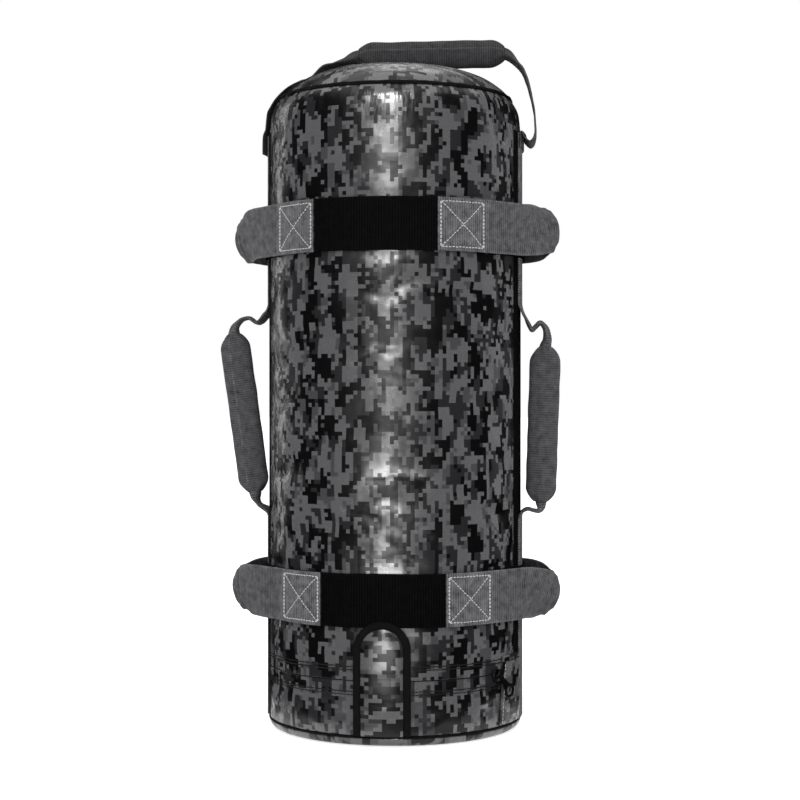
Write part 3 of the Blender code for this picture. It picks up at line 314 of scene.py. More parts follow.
print("lights:", len(SOFT_LIGHTS))

# %% Dark screen and mat
SCREEN_RADIUS, SCREEN_HEIGHT = 3.0, 3.6
MAT_INNER, MAT_HEIGHT = 0.19, 0.003
SCREEN_STEPS = 60
screen_paint, tree, shader = start_material("dark_screen", 1.0, 0.0)
feed(shader, {"Base Color": (0.004, 0.004, 0.004, 1.0)})
for name, rings in (("dark_screen", [(SCREEN_RADIUS, MAT_HEIGHT), (SCREEN_RADIUS, SCREEN_HEIGHT)]),
                    ("dark_mat", [(MAT_INNER, MAT_HEIGHT), (SCREEN_RADIUS, MAT_HEIGHT)])):
    points = [on_bag(tau * step / SCREEN_STEPS, radius, height) for radius, height in rings
              for step in range(SCREEN_STEPS)]
    mesh = bpy.data.meshes.new(name)
    mesh.from_pydata(points, [], quads(2, SCREEN_STEPS)[0])
    mesh.materials.append(screen_paint)
    cloth = add_object(name, mesh)
    cloth.visible_camera = cloth.visible_diffuse = cloth.visible_shadow = cloth.visible_transmission = False

# %% [markdown]
# ## Finishes
# Every cloth piece carries a UV map in metres, as its panel lay flat on the cutting table. Patterns
# and weaves read that map, so a 4 mm pixel stays 4 mm wherever the cloth goes.
#
# The bag's print is the common pixel camouflage of sports bags: square dots in four greys. It could
# be an image, but no picture is read here. A group rounds the cloth's coordinates down to whole dots
# and asks three noise fields, one for each darker grey, whether the dot belongs to it. A little
# random value per dot frays the edges of the blots, as a printed pixel pattern has them. The blots
# stand upright on the bag, so the noise is squeezed across and drawn out along the bag.

# %% Pixel pattern
KINDS = {"value": "NodeSocketFloat", "color": "NodeSocketColor", "vector": "NodeSocketVector"}
DOT = 0.0038
UPRIGHT = (2.05, 1.00, 1.0)
FRAY = 0.075
BLOTS = (  # grey, place in the noise, scale, darkness, noise above which a dot belongs to it
    ("Middle", (0.3, 0.9, 0.0), 34.0, 0.35, 0.550),
    ("Dark", (3.7, 1.1, 0.4), 35.0, 0.7, 0.532),
    ("Black", (3.72, 1.08, 0.42), 36.0, 1.0, 0.543))


def new_group(name, inputs, outputs):
    """A shader node group with named sockets, what it is given, and its output node."""
    group = bpy.data.node_groups.new(name, "ShaderNodeTree")
    for label, (kind, default) in inputs.items():
        socket = group.interface.new_socket(name=label, in_out="INPUT", socket_type=KINDS[kind])
        if default is not None:
            socket.default_value = default
    for label, kind in outputs.items():
        group.interface.new_socket(name=label, in_out="OUTPUT", socket_type=KINDS[kind])
    given = group.nodes.new("NodeGroupInput").outputs
    return group, {label: Signal(given[label]) for label in inputs}, group.nodes.new("NodeGroupOutput")


def use_group(tree, group, **values):
    """Place a group in a material, feed its named inputs, and give its outputs by name."""
    node = feed(put(tree, "ShaderNodeGroup", node_tree=group), values)
    return {socket.name: Signal(socket) for socket in node.outputs}


pixel_pattern, given, made = new_group(
    "pixel_pattern",
    {"Cloth": ("vector", None), "Dot": ("value", DOT), "Light": ("color", gray(98, 1.03)),
     "Middle": ("color", gray(74, 1.05)), "Dark": ("color", gray(40, 1.10)),
     "Black": ("color", gray(9, 1.10))},
    {"Color": "color", "Darkness": "value"})
dot = get(pixel_pattern, "ShaderNodeCombineXYZ", {axis: given["Dot"] for axis in range(3)})
whole = vector_calc("FLOOR", vector_calc("DIVIDE", given["Cloth"], dot))
upright = vector_calc("MULTIPLY", vector_calc("MULTIPLY", whole, dot), UPRIGHT)
fray = get(pixel_pattern, "ShaderNodeTexWhiteNoise", {"Vector": whole}, "Value", noise_dimensions="3D")
fray = (fray - 0.5) * FRAY
color, darkness = given["Light"], 0.0
for label, shift, scale, level, edge in BLOTS:
    field = noise_value(vector_calc("ADD", upright, shift), scale, 2.4, 0.58)
    inside = calc("GREATER_THAN", field + fray, edge)
    color = blend_colors(inside, color, given[label])
    darkness = calc("MAXIMUM", darkness, inside * level)
feed(made, {"Color": color, "Darkness": darkness})
print("pixel pattern:", len(pixel_pattern.nodes), "nodes")

# %% [markdown]
# Coated cloth is a woven base under a smooth film. Close up the weave shows as a fine emboss, and
# where a panel is eased into a shorter seam, the film buckles in narrow folds that run away from the
# seam. The group makes both as one height: a woven grid, soft dents, and folds whose strength a
# vertex value called `pucker` sets, which the mesh code raises near seams.

# %% Coated cloth relief
coated_relief, given, made = new_group(
    "coated_relief", {"Cloth": ("vector", None), "Pucker": ("value", 0.0), "Thread": ("value", 0.0011)},
    {"Height": "value", "Scuff": "value"})
turn = tau / given["Thread"]
across, along = [calc("SINE", place * turn) for place in split(given["Cloth"])[:2]]
grid = across * along * 0.009
dents = noise_value(given["Cloth"], 34.0) * 1.5
folds = noise_value(vector_calc("MULTIPLY", given["Cloth"], (80.0, 24.0, 1.0)), 1.0, 3.0, 0.6)
scuffs = ramp(noise_value(given["Cloth"], 55.0, 4.0, 0.65), 0.52, 0.78)
feed(made, {"Height": grid + dents + folds * 1.5 * given["Pucker"], "Scuff": scuffs})

# %% [markdown]
# Webbing is woven with thick wefts, so it shows fine ribs straight across its length. Warp threads
# run along it and cross the ribs as short bumps. The colour is darkened in the groove between two
# ribs, a painted shade there. The group takes the strap's own map, with X along it and Y across it.

# %% Ribbed webbing
ribbed_webbing, given, made = new_group(
    "ribbed_webbing",
    {"Cloth": ("vector", None), "Color": ("color", gray(100)), "Rib": ("value", 0.0022),
     "Groove": ("value", 0.55), "Fading": ("value", 0.25)},
    {"Color": "color", "Height": "value"})
along, across, _ = split(given["Cloth"])
rib_turn = pi / given["Rib"]
rib = calc("POWER", calc("ABSOLUTE", calc("SINE", along * rib_turn)), 0.6)
warp = calc("ABSOLUTE", calc("SINE", across * (rib_turn * 1.9)))
height = rib * 0.75 + warp * 0.25
patchy = (noise_value(given["Cloth"], 130.0, 4.0, 0.65) - 0.5) * given["Fading"]
thread = (noise_value(vector_calc("MULTIPLY", given["Cloth"], (500.0, 2200.0, 1.0)), 1.0) - 0.5) * 0.75
# The groove term darkens the colour where the ribs are low: painted shade in the grooves.
shade = 1.12 + patchy + thread - (1.0 - height) * given["Groove"]
feed(made, {"Color": scaled(given["Color"], shade), "Height": height})

# %% [markdown]
# Loose or fibrous fillings, such as sand, wadding and foam, need no direction: a cell texture gives
# grains or pores, and noise gives the slow change of shade. One group serves them all.

# %% Grain
grain, given, made = new_group(
    "grain",
    {"Place": ("vector", None), "Color": ("color", gray(128)), "Size": ("value", 0.001),
     "Contrast": ("value", 0.4)},
    {"Color": "color", "Height": "value"})
cells = put(grain, "ShaderNodeTexVoronoi", {"Vector": given["Place"], "Scale": 1.0 / given["Size"]}).outputs
slow = noise_value(given["Place"], 45.0, 3.0) - 0.5
speck = get(grain, "ShaderNodeSeparateColor", {0: Signal(cells["Color"])}) - 0.5
shade = 1.0 + (speck + slow) * given["Contrast"]
feed(made, {"Color": scaled(given["Color"], shade), "Height": 1.0 - Signal(cells["Distance"])})


def finish(tree, shader, color, height, depth, **inputs):
    """Colour a surface and raise it: `depth` metres for each unit of the height."""
    bump = get(tree, "ShaderNodeBump", {"Strength": 1.0, "Distance": depth, "Height": height})
    feed(shader, {"Base Color": color, "Normal": bump, **inputs})


def cloth_map(tree):
    return get(tree, "ShaderNodeUVMap", uv_map="cloth")


def vertex_value(tree, name):
    return get(tree, "ShaderNodeAttribute", output="Fac", attribute_name=name)


# %% [markdown]
# The coated cloth has a plastic gloss with soft edges. Scuffed places are a little rougher, and the
# thick dark inks are duller than the smooth grey ground.

# %% Camouflage cloth
camo_cloth, tree, shader = start_material("camo_cloth", 0.28, 0.34)
cloth = cloth_map(tree)
relief = use_group(tree, coated_relief, Cloth=cloth, Pucker=vertex_value(tree, "pucker"))
pixels = use_group(tree, pixel_pattern, Cloth=cloth, Dot=DOT)
finish(tree, shader, pixels["Color"], relief["Height"], 0.0010, **{
    "Roughness": 0.270 + relief["Scuff"] * 0.11 + pixels["Darkness"] * 0.060,
    "Specular IOR Level": 0.82 - pixels["Darkness"] * 0.50})

# %% Webbings
EDGE_PALER = 0.45


def webbing_material(name, level, rib, groove, fading, roughness=0.75, specular=0.16, sheen=0.0):
    material, tree, shader = start_material(name, roughness, specular)
    # `groove` sets the painted shade in the grooves between ribs.
    woven = use_group(tree, ribbed_webbing, Cloth=cloth_map(tree), Color=gray(level, 1.06), Rib=rib,
                      Groove=groove, Fading=fading)
    # Paler where the selvedge value is high: a painted highlight at the edges, and paler sewn ends on the
    # loops.
    paler = 1.0 + vertex_value(tree, "selvedge") * EDGE_PALER
    finish(tree, shader, scaled(woven["Color"], paler), woven["Height"], 0.0005, **{
        "Sheen Weight": sheen, "Sheen Roughness": 0.5})
    return material


grey_webbing = webbing_material("grey_webbing", 93, 0.0025, 1.05, 2.2, sheen=0.04)
grip_webbing = webbing_material("grip_webbing", 88, 0.0023, 0.80, 2.0, sheen=0.04)
dark_webbing = webbing_material("dark_webbing", 66, 0.0023, 0.80, 1.8, sheen=0.04)
black_webbing = webbing_material("black_webbing", 8, 0.0026, 1.3, 2.0, roughness=0.8, specular=0.03)
seam_binding = webbing_material("seam_binding", 9, 0.0011, 0.5, 0.25, roughness=0.6, specular=0.08)
zip_tape_cloth = webbing_material("zip_tape_cloth", 12, 0.0010, 0.5, 0.2)
inner_cloth = webbing_material("inner_cloth", 108, 0.0009, 0.35, 0.25, roughness=0.8, specular=0.2,
                               sheen=0.04)

# %% [markdown]
# Sewing thread is two or three plies twisted together: slanted stripes along each stitch, drawn
# darker between the plies as painted shade. Nylon coil and coated metal are smooth, with small nicks
# on what is handled.

# %% Thread, nylon, metal and fillings
def thread_material(name, level):
    material, tree, shader = start_material(name, 0.55, 0.3)
    along, around, _ = split(cloth_map(tree))
    ply = calc("ABSOLUTE", calc("SINE", along * 9000.0 + around * 6.0))
    # The colour is darkened where the ply bump is low: painted shade between the plies.
    finish(tree, shader, scaled(gray(level)[:3], 0.72 + ply * 0.28), ply, 0.0001)
    return material


def place_of(tree):
    return get(tree, "ShaderNodeTexCoord", output="Object")


def grain_material(name, level, size, contrast, depth, roughness, warm=None):
    material, tree, shader = start_material(name, roughness, 0.2)
    grains = use_group(tree, grain, Place=place_of(tree), Color=warm or gray(level), Size=size,
                       Contrast=contrast)
    finish(tree, shader, grains["Color"], grains["Height"], depth)
    return material


white_thread = thread_material("white_thread", 238)
black_thread = thread_material("black_thread", 20)
nylon_coil = grain_material("nylon_coil", 34, 0.0006, 0.5, 0.00005, 0.4)
hook_fuzz = grain_material("hook_fuzz", 30, 0.0009, 0.7, 0.0006, 0.95)
loop_fuzz = grain_material("loop_fuzz", 27, 0.0005, 0.6, 0.0004, 0.98)
pale_wadding = grain_material("pale_wadding", 214, 0.0030, 0.12, 0.0008, 0.95)
grey_foam = grain_material("grey_foam", 132, 0.0012, 0.25, 0.0003, 0.9)
dry_sand = grain_material("dry_sand", None, 0.0011, 0.45, 0.0004, 0.95, warm=(0.52, 0.43, 0.30, 1.0))

dark_metal, tree, shader = start_material("dark_metal", 0.36, 0.5, 1.0)
nicks = noise_value(place_of(tree), 900.0, 4.0, 0.7)
finish(tree, shader, blend_colors(ramp(nicks, 0.62, 0.74), gray(34, 1.05), gray(150, 1.03)), nicks, 0.00006,
       Roughness=0.30 + nicks * 0.22)
print("materials:", len(bpy.data.materials))

# %% [markdown]
# ## Shell
# The wall is one long panel of coated cloth, eased at its top into a smaller round seam. A round top
# panel closes the bag above, and a base panel turns up at its rim below. The panels could be lofted
# as they are, but a filled bag is under slight pressure: cloth swells between the lines where it is
# sewn down. So wall and top are laid out as one ring grid, pinned where webbing, zip and seams hold
# them, and blown up a little by Blender's cloth simulation. The grid keeps its flat map, so no
# remesh is needed. Afterwards it is cut into its panels again.

# %% Mesh helpers
BAG_RADIUS = 0.125
STRAIGHT_TOP = 0.585
SHOULDER_HEIGHT = 0.066
SHOULDER_POWER = 2.5
TOP_SEAM_RADIUS = 0.1155
SHELL_CLOTH = 0.0015
BAND_HEIGHTS = {"upper": 0.486, "lower": 0.1355}
BAND_YAWS = {"upper": radians(-3.7), "lower": 0.0}
SIDES = {"left": -1.0, "right": 1.0}
WEBBING = 0.0016
WEBBING_WIDTH = 0.050
WRAP_GAP = 0.0004
SEAM_GAP = 0.0003
ZIP_HEIGHT = 0.061
ZIP_LEFT, ZIP_RIGHT = radians(-77.0), radians(59.0)


def smooth_step(low, high, value):
    share = min(1.0, max(0.0, (value - low) / (high - low)))
    return share * share * (3.0 - 2.0 * share)


def even_steps(low, high, step):
    count = max(1, ceil((high - low) / step - 1e-9))
    return [low + (high - low) * place / count for place in range(count + 1)]


def column_angle(column, columns):
    """The angle of a column of points, counted from the back of the bag."""
    return -pi + tau * column / columns


def shoulder_height(radius):
    reach = max(0.0, 1.0 - (radius / BAG_RADIUS) ** SHOULDER_POWER)
    return STRAIGHT_TOP + SHOULDER_HEIGHT * reach ** (1.0 / SHOULDER_POWER)


@contextmanager
def edited(mesh):
    """A mesh opened for editing, and written back afterwards."""
    builder = bmesh.new()
    builder.from_mesh(mesh)
    yield builder
    builder.to_mesh(mesh)
    builder.free()


def smooth_faces(mesh, sharp):
    mesh.shade_smooth()
    mesh.set_sharp_from_angle(angle=radians(sharp))


def make_piece(name, points, faces, corners, material, slot=None, sharp=50.0, outward=True):
    """A mesh object with its flat map, smooth faces and sharp creases."""
    mesh = bpy.data.meshes.new(name)
    mesh.from_pydata([tuple(point) for point in points], [], faces)
    if corners:
        mesh.uv_layers.new(name="cloth").data.foreach_set("uv", np.array(corners, np.float32).ravel())
    if outward:
        with edited(mesh) as builder:
            bmesh.ops.recalc_face_normals(builder, faces=builder.faces)
    smooth_faces(mesh, sharp)
    mesh.materials.append(material)
    piece = add_object(name, mesh)
    return piece


def bake_modifiers(piece):
    """Replace a piece's mesh by what its modifiers make of it."""
    graph = bpy.context.evaluated_depsgraph_get()
    mesh = bpy.data.meshes.new_from_object(piece.evaluated_get(graph))
    mesh.name = piece.name
    piece.modifiers.clear()
    piece.data = mesh
    return piece


def add_modifier(piece, name, kind, **settings):
    modifier = piece.modifiers.new(name, kind)
    for key, value in settings.items():
        setattr(modifier, key, value)


def refine(piece):
    add_modifier(piece, "smoothing", "SUBSURF", levels=1, render_levels=1)
    return bake_modifiers(piece)


def point_values(piece, name, values):
    attribute = piece.data.attributes.new(name, "FLOAT", "POINT")
    attribute.data.foreach_set("value", np.array(values, np.float32))


def dress(piece, body, *nodes):
    """Let a piece move with a body and show in place of solids."""
    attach(piece, body)
    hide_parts(*nodes)
    return piece


# %% [markdown]
# The ring grid has a row at each sewn line. Its last row shrinks to the middle of the top panel, and
# a flat cap closes it below, so that the simulation has a closed volume to press against.

# %% Ring grid
COLUMNS = 160
SLOT_LIP = 0.0005
BAND_EDGE = 0.0265
ZIP_ROW_PLACES = (-0.0135, -0.0085, -0.0040, -SLOT_LIP, SLOT_LIP, 0.0040, 0.0090, 0.0140)
SHOULDER_SHARES = (0.9985, 0.994, 0.987, 0.978, 0.966, 0.951, 0.937)
TOP_SHARES = (1.0, 0.955, 0.91, 0.86, 0.80, 0.74, 0.67, 0.60, 0.52, 0.44, 0.35, 0.26, 0.17, 0.08)
wall_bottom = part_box("shell_wall")[0].z
zip_rows = [ZIP_HEIGHT + away for away in ZIP_ROW_PLACES]
band_edges = [BAND_HEIGHTS[level] + away for level in ("lower", "upper")
              for away in (-BAND_EDGE, BAND_EDGE)]
heights = even_steps(wall_bottom, zip_rows[0], 0.0050) + zip_rows[1:]
for low, high in zip([zip_rows[-1]] + band_edges, band_edges + [STRAIGHT_TOP]):
    heights += even_steps(low, high, 0.0052)[1:]
rim = TOP_SEAM_RADIUS - SEAM_GAP
rings = [(BAG_RADIUS, height) for height in heights]
rings += [(BAG_RADIUS * share, shoulder_height(BAG_RADIUS * share)) for share in SHOULDER_SHARES]
rings.append((TOP_SEAM_RADIUS, shoulder_height(TOP_SEAM_RADIUS)))
wall_rows = len(rings)
rings += [(rim * share, shoulder_height(rim * share)) for share in TOP_SHARES]
columns = [column_angle(step, COLUMNS) for step in range(COLUMNS)]
rest = np.array([[on_bag(angle, radius, height) for angle in columns] for radius, height in rings])
lengths = np.concatenate([[0.0], np.cumsum(np.hypot(*np.diff(np.array(rings), axis=0).T))]) + wall_bottom
print("ring grid:", rest.shape[0], "rows of", COLUMNS)


# %% Where the cloth is sewn down
def held_share(angle, radius, height):
    """1 where something holds the cloth against the filling, 0 in the middle of a free panel."""
    turned = degrees(angle)
    from_side = abs(abs(turned) - 90.0)
    return float(
        height < wall_bottom + 0.0045 or radius < 0.02  # base seam, and the middle of the top
        or any(abs(height - middle) < 0.027 for middle in BAND_HEIGHTS.values())
        or from_side < 19.0 and height < 0.600  # side straps
        or from_side < 13.6 and turned < 0.0 and radius > 0.070  # left end of the top strap
        or abs(height - ZIP_HEIGHT) < 0.0165 and -80.0 < turned < 80.0
        or abs(turned) < 14.5 and height < 0.118  # flap
        or 54.0 < turned < 80.0 and height < 0.082  # end patch
        or abs(radius - TOP_SEAM_RADIUS) < 0.0022)


held = np.array([[held_share(angle, radius, height) for angle in columns] for radius, height in rings])
print("held points:", int(held.sum()), "of", held.size)

# %% [markdown]
# The simulation lets the cloth be 1% larger than the form under it, as a sewn cover is, and
# presses it outwards. A cap keeps each point within 2.4 mm of its start, so nothing swells through
# the webbing.

# %% Blow the cover up
SWELL_CAP = 0.0024
SWELL_FRAMES = 20
UNREST = 0.0005
CLOTH = {"quality": 5, "mass": 0.2, "tension_stiffness": 18.0, "compression_stiffness": 18.0,
         "shear_stiffness": 6.0, "bending_stiffness": 0.6, "vertex_group_mass": "held",
         "use_pressure": True, "uniform_pressure_force": 4.0, "shrink_min": -0.010}


def press_out(points, faces, pins):
    """Run cloth on a closed mesh and return its points, none further than the cap from its start."""
    piece = make_piece("cover_form", points, faces, None, camo_cloth)
    pin_group = piece.vertex_groups.new(name="held")
    pin_group.add([int(place) for place in np.flatnonzero(pins)], 1.0, "REPLACE")
    cloth = piece.modifiers.new("cloth", "CLOTH")
    for key, value in CLOTH.items():
        setattr(cloth.settings, key, value)
    cloth.settings.effector_weights.gravity = 0.0
    cloth.collision_settings.use_collision = False
    cloth.collision_settings.use_self_collision = False
    cloth.point_cache.frame_start, cloth.point_cache.frame_end = 1, SWELL_FRAMES
    scene = bpy.context.scene
    scene.frame_start, scene.frame_end = 1, SWELL_FRAMES
    for frame_number in range(1, SWELL_FRAMES + 1):
        scene.frame_set(frame_number)
    shown = piece.evaluated_get(bpy.context.evaluated_depsgraph_get()).data
    moved = np.empty(len(shown.vertices) * 3)
    shown.vertices.foreach_get("co", moved)
    bpy.data.objects.remove(piece, do_unlink=True)
    scene.frame_set(1)
    shift = np.nan_to_num(moved.reshape(-1, 3) - points)
    length = np.maximum(np.linalg.norm(shift, axis=1), 1e-9)
    return points + shift * np.minimum(1.0, SWELL_CAP / length)[:, None]


even = rest.reshape(-1, 3)
unrest = np.array([noise.noise(Vector(point) * 46.0) + 0.5 * noise.noise(Vector(point) * 95.0)
                   for point in even])
outward = even * np.array([1.0, 1.0, 0.0])
outward /= np.maximum(np.linalg.norm(outward, axis=1), 1e-9)[:, None]
cover = even + outward * (unrest * (1.0 - held.ravel()) * UNREST)[:, None]
last = (len(rings) - 1) * COLUMNS
closing = [tuple(range(COLUMNS))[::-1], tuple(last + column for column in range(COLUMNS))]
cover = press_out(cover, quads(len(rings), COLUMNS)[0] + closing, held.ravel())
cover = cover.reshape(rest.shape)
swell = np.linalg.norm(cover - rest, axis=2)
print("cover swells by up to", round(1000.0 * float(swell.max()), 2), "mm")

# %% [markdown]
# Back to panels: the wall leaves out the faces of the zip's opening, whose two lips almost meet, and
# every cut edge is turned in, as a hem would be. `pucker` is high near the shoulder seam, where the
# wide wall is eased into the small top panel, and low elsewhere.

# %% Panels from the grid
TOP_MAP = (0.31, 0.17)  # where the top panel was cut from the cloth


def panel_from_rows(name, first, last, at, pucker, skip=None):
    """Part of the ring grid as its own panel. `at` maps a row and column number to cloth metres."""
    faces, corners = quads(last - first, COLUMNS, lambda row, column: at(first + row, column),
                           skip=lambda row, column: skip and skip(first + row, column))
    piece = make_piece(name, cover[first:last].reshape(-1, 3), faces, corners, camo_cloth, "camo_cloth",
                       sharp=60.0, outward=False)
    point_values(piece, "pucker", np.repeat([pucker(*ring) for ring in rings[first:last]], COLUMNS))
    return piece


def turn_in(piece, depth):
    """Fold every open edge towards the bag's axis, and drop loose points."""
    with edited(piece.data) as builder:
        loose = [vert for vert in builder.verts if not vert.link_faces]
        bmesh.ops.delete(builder, geom=loose, context="VERTS")
        edges = [edge for edge in builder.edges if edge.is_boundary]
        made = bmesh.ops.extrude_edge_only(builder, edges=edges)
        for vert in (item for item in made["geom"] if isinstance(item, bmesh.types.BMVert)):
            radius = max(1e-6, hypot(vert.co.x, vert.co.y))
            vert.co.x *= 1.0 - depth / radius
            vert.co.y *= 1.0 - depth / radius


def wall_flat(row, column):
    return (column_angle(column, COLUMNS) * BAG_RADIUS, lengths[row])


def wall_pucker(radius, height):
    near_seam = smooth_step(STRAIGHT_TOP - 0.030, shoulder_height(TOP_SEAM_RADIUS), height)
    near_base = 1.0 - smooth_step(0.010, 0.030, height)
    near_zip = 1.0 - smooth_step(0.012, 0.026, abs(height - ZIP_HEIGHT))
    return 0.06 + 0.8 * near_seam + 0.35 * near_base + 0.25 * near_zip


def in_zip(row, column):
    """The opening between the zip's lips."""
    height = (rings[row][1] + rings[row + 1][1]) / 2.0
    angle = column_angle(column + 0.5, COLUMNS)
    return abs(height - ZIP_HEIGHT) < SLOT_LIP and ZIP_LEFT < angle < ZIP_RIGHT


def top_flat(row, column):
    angle = columns[column % COLUMNS]
    return (-rings[row][0] * cos(angle) + TOP_MAP[0], rings[row][0] * sin(angle) + TOP_MAP[1])


def top_pucker(radius, height):
    return 0.35 + 0.65 * smooth_step(0.05, 0.115, radius)


shell_wall = panel_from_rows("camo_wall", 0, wall_rows, wall_flat, wall_pucker, in_zip)
turn_in(shell_wall, 0.0005)
dress(refine(shell_wall), "root", "shell_wall")

top_panel = panel_from_rows("camo_top_panel", wall_rows, len(rings), top_flat, top_pucker)
with edited(top_panel.data) as builder:
    layer = builder.loops.layers.uv["cloth"]
    hole = [edge for edge in builder.edges if edge.is_boundary and edge.verts[0].co.xy.length < 0.02]
    for face in bmesh.ops.contextual_create(builder, geom=hole)["faces"]:
        face.smooth = True
        for loop in face.loops:
            loop[layer].uv = (loop.vert.co.y + TOP_MAP[0], loop.vert.co.x + TOP_MAP[1])
turn_in(top_panel, 0.0012)
dress(refine(top_panel), "root", "top_panel")
print("wall", len(shell_wall.data.polygons), "faces, top panel", len(top_panel.data.polygons))

# %% [markdown]
# The base panel lies flat on the floor and turns up at the rim to the piping. It is a plain turned
# form, because the floor holds it. Its rim has small ripples, where the round panel is eased in.

# %% Base panel
EDGE_RADIUS = 0.008
RIM_SHARES = (0.12, 0.25, 0.4, 0.55, 0.7, 0.85, 1.0)
RIPPLED = range(7, 12)


def turned_piece(name, profile, steps, material, slot, wander, closed=False, flat=None):
    """A turned form from a profile of (radius, height), open or closed on itself. `wander` shifts
    each point by (outwards, upwards). Points of no radius are merged into one."""
    points = []
    for place, (radius, height) in enumerate(profile):
        for step in range(steps):
            angle = column_angle(step, steps)
            out, up = wander(place, angle)
            points.append(on_bag(angle, max(0.0, radius + out), height + up))
    run = [0.0]
    for (r0, h0), (r1, h1) in zip(profile, profile[1:] + profile[:1]):
        run.append(run[-1] + hypot(r1 - r0, h1 - h0))
    widest = max(radius for radius, height in profile)

    def at(row, column):
        if flat:
            return flat(points[row * steps + column % steps])
        return (column_angle(column, steps) * widest, run[row])

    faces, corners = quads(len(profile), steps, at, closed)
    piece = make_piece(name, points, faces, corners, material, slot)
    with edited(piece.data) as builder:
        bmesh.ops.remove_doubles(builder, verts=builder.verts, dist=1e-7)
        bmesh.ops.recalc_face_normals(builder, faces=builder.faces)
    return piece


def wave_round(angle, seed, scale):
    """Smooth noise that closes on itself round the bag."""
    return noise.noise(Vector((sin(angle), cos(angle), seed)) * scale)


def base_ripple(place, angle):
    return (0.0006 * wave_round(angle, 0.3, 9.0) if place in RIPPLED else 0.0, 0.0)


base_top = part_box("base_panel")[1].z
flat_radius = BAG_RADIUS - EDGE_RADIUS
rim_angle = acos(1.0 - base_top / EDGE_RADIUS)
outer = [(radius, 0.0) for radius in (0.0, 0.03, 0.06, 0.09, flat_radius)]
outer += [(flat_radius + EDGE_RADIUS * sin(rim_angle * share), EDGE_RADIUS * (1.0 - cos(rim_angle * share)))
          for share in RIM_SHARES]
inner = [(max(0.0, radius - SHELL_CLOTH * 0.7), height + SHELL_CLOTH) for radius, height in outer[::-1]]
base_panel = turned_piece("camo_base_panel", outer + inner, COLUMNS, camo_cloth, "camo_cloth", base_ripple,
                          flat=lambda point: (point[0] + 0.6, point[1] + 0.4))
point_values(base_panel, "pucker", [smooth_step(0.10, BAG_RADIUS, vert.co.xy.length)
                                    for vert in base_panel.data.vertices])
dress(base_panel, "root", "base_panel")
print("base panel", len(base_panel.data.polygons), "faces")

# %% [markdown]
# Two seams show: a thin piping where wall and base meet, and a flat binding over the shoulder seam.
# Both are narrow tapes pulled tight by the stitches, so they wander a little and pinch.

# %% Seams
PIPING_RADIUS = 0.0012
PIPING_SIDES = 10
PINCHES = 230.0
BINDING_HALF = 0.0013
BINDING_LIFTS = (0.0004, 0.0011, 0.0014, 0.0011, 0.0004)


def piping_wander(place, angle):
    wave = wave_round(angle, 2.0, 7.0)
    pinch = 0.00008 * cos(angle * PINCHES) * cos(tau * place / PIPING_SIDES)
    return (0.0002 * wave + pinch, 0.00015 * wave)


def binding_wander(place, angle):
    wave = wave_round(angle, 5.0, 12.0)
    return (0.0005 * wave, 0.0005 * wave)


middle = (BAG_RADIUS - PIPING_RADIUS / 2.0, base_top + SEAM_GAP + PIPING_RADIUS)
profile = [(middle[0] + PIPING_RADIUS * cos(tau * side / PIPING_SIDES),
            middle[1] + PIPING_RADIUS * sin(tau * side / PIPING_SIDES)) for side in range(PIPING_SIDES)]
piping = turned_piece("base_piping_tape", profile, 480, seam_binding, "seam_binding", piping_wander,
                      closed=True)
dress(piping, "root", "base_piping")

lower = [(radius, shoulder_height(radius) + 0.0004)
         for radius in (TOP_SEAM_RADIUS + BINDING_HALF * share for share in (1.0, 0.5, 0.0, -0.5, -1.0))]
upper = [(radius + lift * 0.8, height + lift) for (radius, height), lift in zip(lower, BINDING_LIFTS)]
binding = turned_piece("top_seam_tape", lower + upper[::-1], 320, seam_binding, "seam_binding",
                       binding_wander, closed=True)
dress(binding, "root", "top_seam_binding")
print("piping", len(piping.data.polygons), "faces, top binding", len(binding.data.polygons))

# %% [markdown]
# ## Webbing
# All straps are 50 mm flat webbing. Flat straps aren't simulated: a grid of points says where the
# middle of the cloth runs, and one helper gives it thickness, thinner selvedges, closed ends and a
# flat map. The grid's first direction runs along the strap, and the second across it. A vertex value
# called `selvedge` marks the two woven edges, which are harder than the rest and are drawn paler: a
# painted highlight along each edge. A second value raises it over a loop's sewn end, so that the
# sewn end is drawn paler than the free leg.

# %% Webbing helpers
EDGE_STEPS = (0.0, 0.0005, 0.0012, 0.0024)


def smooth_path(points, spans):
    """Points along a smooth curve through given points of any dimension."""
    knots = [points[0]] + list(points) + [points[-1]]
    path = []
    for place in range(1, len(knots) - 2):
        before, start, end, after = knots[place - 1:place + 3]
        for step in range(spans):
            share = step / spans
            path.append(tuple(
                0.5 * (2.0 * b + (c - a) * share + (2.0 * a - 5.0 * b + 4.0 * c - d) * share ** 2
                       + (3.0 * b - a - 3.0 * c + d) * share ** 3)
                for a, b, c, d in zip(before, start, end, after)))
    path.append(tuple(points[-1]))
    return path


def across_places(half, middle_steps=8):
    """Places across a strap: close together at the selvedges."""
    edge = [half - step for step in EDGE_STEPS]
    inner = [edge[-1] * (1.0 - 2.0 * step / middle_steps) for step in range(1, middle_steps)]
    return [-place for place in edge] + [-place for place in inner] + edge[::-1]


